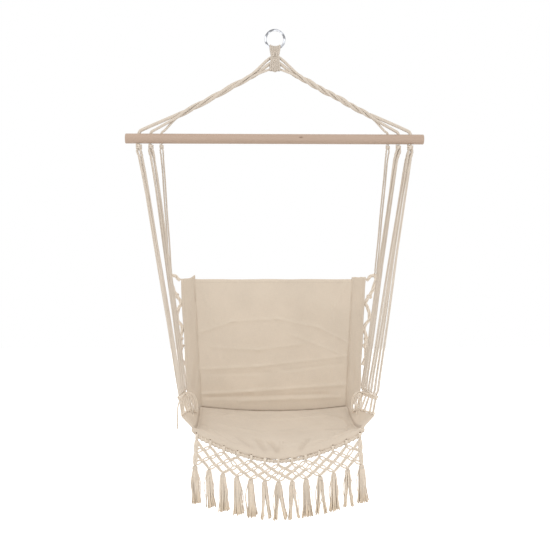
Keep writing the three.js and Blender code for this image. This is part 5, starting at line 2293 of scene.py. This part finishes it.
def floor_material():
    """A white floor that takes the chair's shadow."""
    material = bpy.data.materials.new("white_floor")
    tree = emptied(material)
    matt = tree.add("ShaderNodeBsdfDiffuse", {"Color": (0.8, 0.8, 0.8, 1)})
    strength = tree.math("MULTIPLY", seen_directly(tree), 0.62)
    glow = tree.add("ShaderNodeEmission", {"Color": (1, 1, 1, 1), "Strength": strength})
    both = tree.add("ShaderNodeAddShader", {0: matt.outputs[0], 1: glow.outputs[0]})
    tree.add("ShaderNodeOutputMaterial", {"Surface": both.outputs[0]})
    return material


def make_world(strength):
    """White behind the chair, and soft light from all round."""
    world = bpy.data.worlds.new("studio")
    bpy.context.scene.world = world
    tree = emptied(world)
    sky = tree.add("ShaderNodeBackground", {"Color": (1, 1, 1, 1), "Strength": strength})
    white = tree.add("ShaderNodeBackground", {"Color": (1, 1, 1, 1), "Strength": 1.0})
    shown = {0: seen_directly(tree), 1: sky.outputs[0], 2: white.outputs[0]}
    both = tree.add("ShaderNodeMixShader", shown)
    tree.add("ShaderNodeOutputWorld", {"Surface": both.outputs[0]})


def make_stage():
    """Floor, lamps, world and camera."""
    settings = bpy.context.scene.hammock_stage
    bpy.context.scene.view_settings.view_transform = "Standard"
    add_camera(settings)
    reach = 12.0
    z = -settings.floor_drop
    corners = [(-reach, -reach, z), (reach, -reach, z), (reach, reach, z), (-reach, reach, z)]
    floor = mesh_object("floor", corners, [(0, 1, 2, 3)], floor_material())
    add_lamp("key_lamp", (-1.9, -2.6, 0.9), 1.6, settings.key_power)
    add_lamp("fill_lamp", (2.2, -2.4, 0.2), 1.8, settings.fill_power)
    add_lamp("rear_lamp", (0.4, 2.4, 1.2), 1.6, settings.fill_power)
    make_world(settings.sky_strength)


# Operators


class HAMMOCK_OT_stage(bpy.types.Operator):
    """Build the floor, lamps, world and camera"""

    bl_idname = "hammock.stage"
    bl_label = "Stage"

    def execute(self, context):
        make_stage()
        return {"FINISHED"}


class HAMMOCK_OT_ring(bpy.types.Operator):
    """Build the steel ring"""

    bl_idname = "hammock.ring"
    bl_label = "Ring"

    def execute(self, context):
        make_ring()
        return {"FINISHED"}


class HAMMOCK_OT_collar(bpy.types.Operator):
    """Build the cord collar under the ring"""

    bl_idname = "hammock.collar"
    bl_label = "Collar"

    def execute(self, context):
        make_collar()
        return {"FINISHED"}


class HAMMOCK_OT_strands(bpy.types.Operator):
    """Build the twisted hanging ropes"""

    bl_idname = "hammock.strands"
    bl_label = "Hanging Ropes"

    def execute(self, context):
        make_strands()
        return {"FINISHED"}


class HAMMOCK_OT_bar(bpy.types.Operator):
    """Build the wooden spreader bar"""

    bl_idname = "hammock.bar"
    bl_label = "Spreader Bar"

    def execute(self, context):
        make_bar()
        return {"FINISHED"}


class HAMMOCK_OT_stopper_knots(bpy.types.Operator):
    """Build the knots under the bar"""

    bl_idname = "hammock.stopper_knots"
    bl_label = "Stopper Knots"

    def execute(self, context):
        make_stopper_knots()
        return {"FINISHED"}


class HAMMOCK_OT_fan_cords(bpy.types.Operator):
    """Build the cords from the bar to the seat and back"""

    bl_idname = "hammock.fan_cords"
    bl_label = "Fan Cords"

    def execute(self, context):
        make_fan_cords()
        return {"FINISHED"}


class HAMMOCK_OT_side_macrame(bpy.types.Operator):
    """Build the knotted sides of the seat"""

    bl_idname = "hammock.side_macrame"
    bl_label = "Side Macrame"

    def execute(self, context):
        make_side_macrame()
        return {"FINISHED"}


class HAMMOCK_OT_lacing(bpy.types.Operator):
    """Build the lacing beside the back"""

    bl_idname = "hammock.lacing"
    bl_label = "Back Lacing"

    def execute(self, context):
        make_lacing()
        return {"FINISHED"}


class HAMMOCK_OT_back(bpy.types.Operator):
    """Build the back and its side bands"""

    bl_idname = "hammock.back"
    bl_label = "Back"

    def execute(self, context):
        make_back()
        make_bands()
        return {"FINISHED"}


class HAMMOCK_OT_seat(bpy.types.Operator):
    """Build the seat and its raised side edges"""

    bl_idname = "hammock.seat"
    bl_label = "Seat"

    def execute(self, context):
        make_seat()
        make_wings()
        return {"FINISHED"}


class HAMMOCK_OT_binding(bpy.types.Operator):
    """Build the rolled binding of the front edge"""

    bl_idname = "hammock.binding"
    bl_label = "Front Binding"

    def execute(self, context):
        make_binding()
        return {"FINISHED"}


class HAMMOCK_OT_net(bpy.types.Operator):
    """Build the knotted net"""

    bl_idname = "hammock.net"
    bl_label = "Net"

    def execute(self, context):
        make_net()
        return {"FINISHED"}


class HAMMOCK_OT_tassels(bpy.types.Operator):
    """Build the tassels"""

    bl_idname = "hammock.tassels"
    bl_label = "Tassels"

    def execute(self, context):
        make_tassels()
        return {"FINISHED"}


OPERATORS = (
    HAMMOCK_OT_stage,
    HAMMOCK_OT_ring,
    HAMMOCK_OT_collar,
    HAMMOCK_OT_strands,
    HAMMOCK_OT_bar,
    HAMMOCK_OT_stopper_knots,
    HAMMOCK_OT_fan_cords,
    HAMMOCK_OT_side_macrame,
    HAMMOCK_OT_lacing,
    HAMMOCK_OT_back,
    HAMMOCK_OT_seat,
    HAMMOCK_OT_binding,
    HAMMOCK_OT_net,
    HAMMOCK_OT_tassels,
)


class HAMMOCK_PT_panel(bpy.types.Panel):
    """Lists the chair's settings and the buttons that build its pieces"""

    bl_idname = "HAMMOCK_PT_panel"
    bl_label = "Hammock Chair"
    bl_space_type = "VIEW_3D"
    bl_region_type = "UI"
    bl_category = "Hammock Chair"

    def draw(self, context):
        layout = self.layout
        for group in SETTINGS:
            box = layout.box()
            settings = getattr(context.scene, group)
            for name in settings.__annotations__:
                box.prop(settings, name)
        for operator in OPERATORS:
            layout.operator(operator.bl_idname)


SETTINGS = {
    "hammock_cords": CordSettings,
    "hammock_cloth": ClothSettings,
    "hammock_hardware": HardwareSettings,
    "hammock_stage": StageSettings,
}
CLASSES = (*SETTINGS.values(), *OPERATORS, HAMMOCK_PT_panel)


def register():
    """Registers the classes and puts the settings on the scene."""
    for item in CLASSES:
        bpy.utils.register_class(item)
    for name, group in SETTINGS.items():
        setattr(bpy.types.Scene, name, bpy.props.PointerProperty(type=group))


def unregister():
    """Takes the settings and the classes away again."""
    for name in SETTINGS:
        delattr(bpy.types.Scene, name)
    for item in reversed(CLASSES):
        bpy.utils.unregister_class(item)


def main():
    """Builds the whole chair."""
    register()
    for operator in OPERATORS:
        group, name = operator.bl_idname.split(".")
        getattr(getattr(bpy.ops, group), name)()


if __name__ == "__main__":
    main()
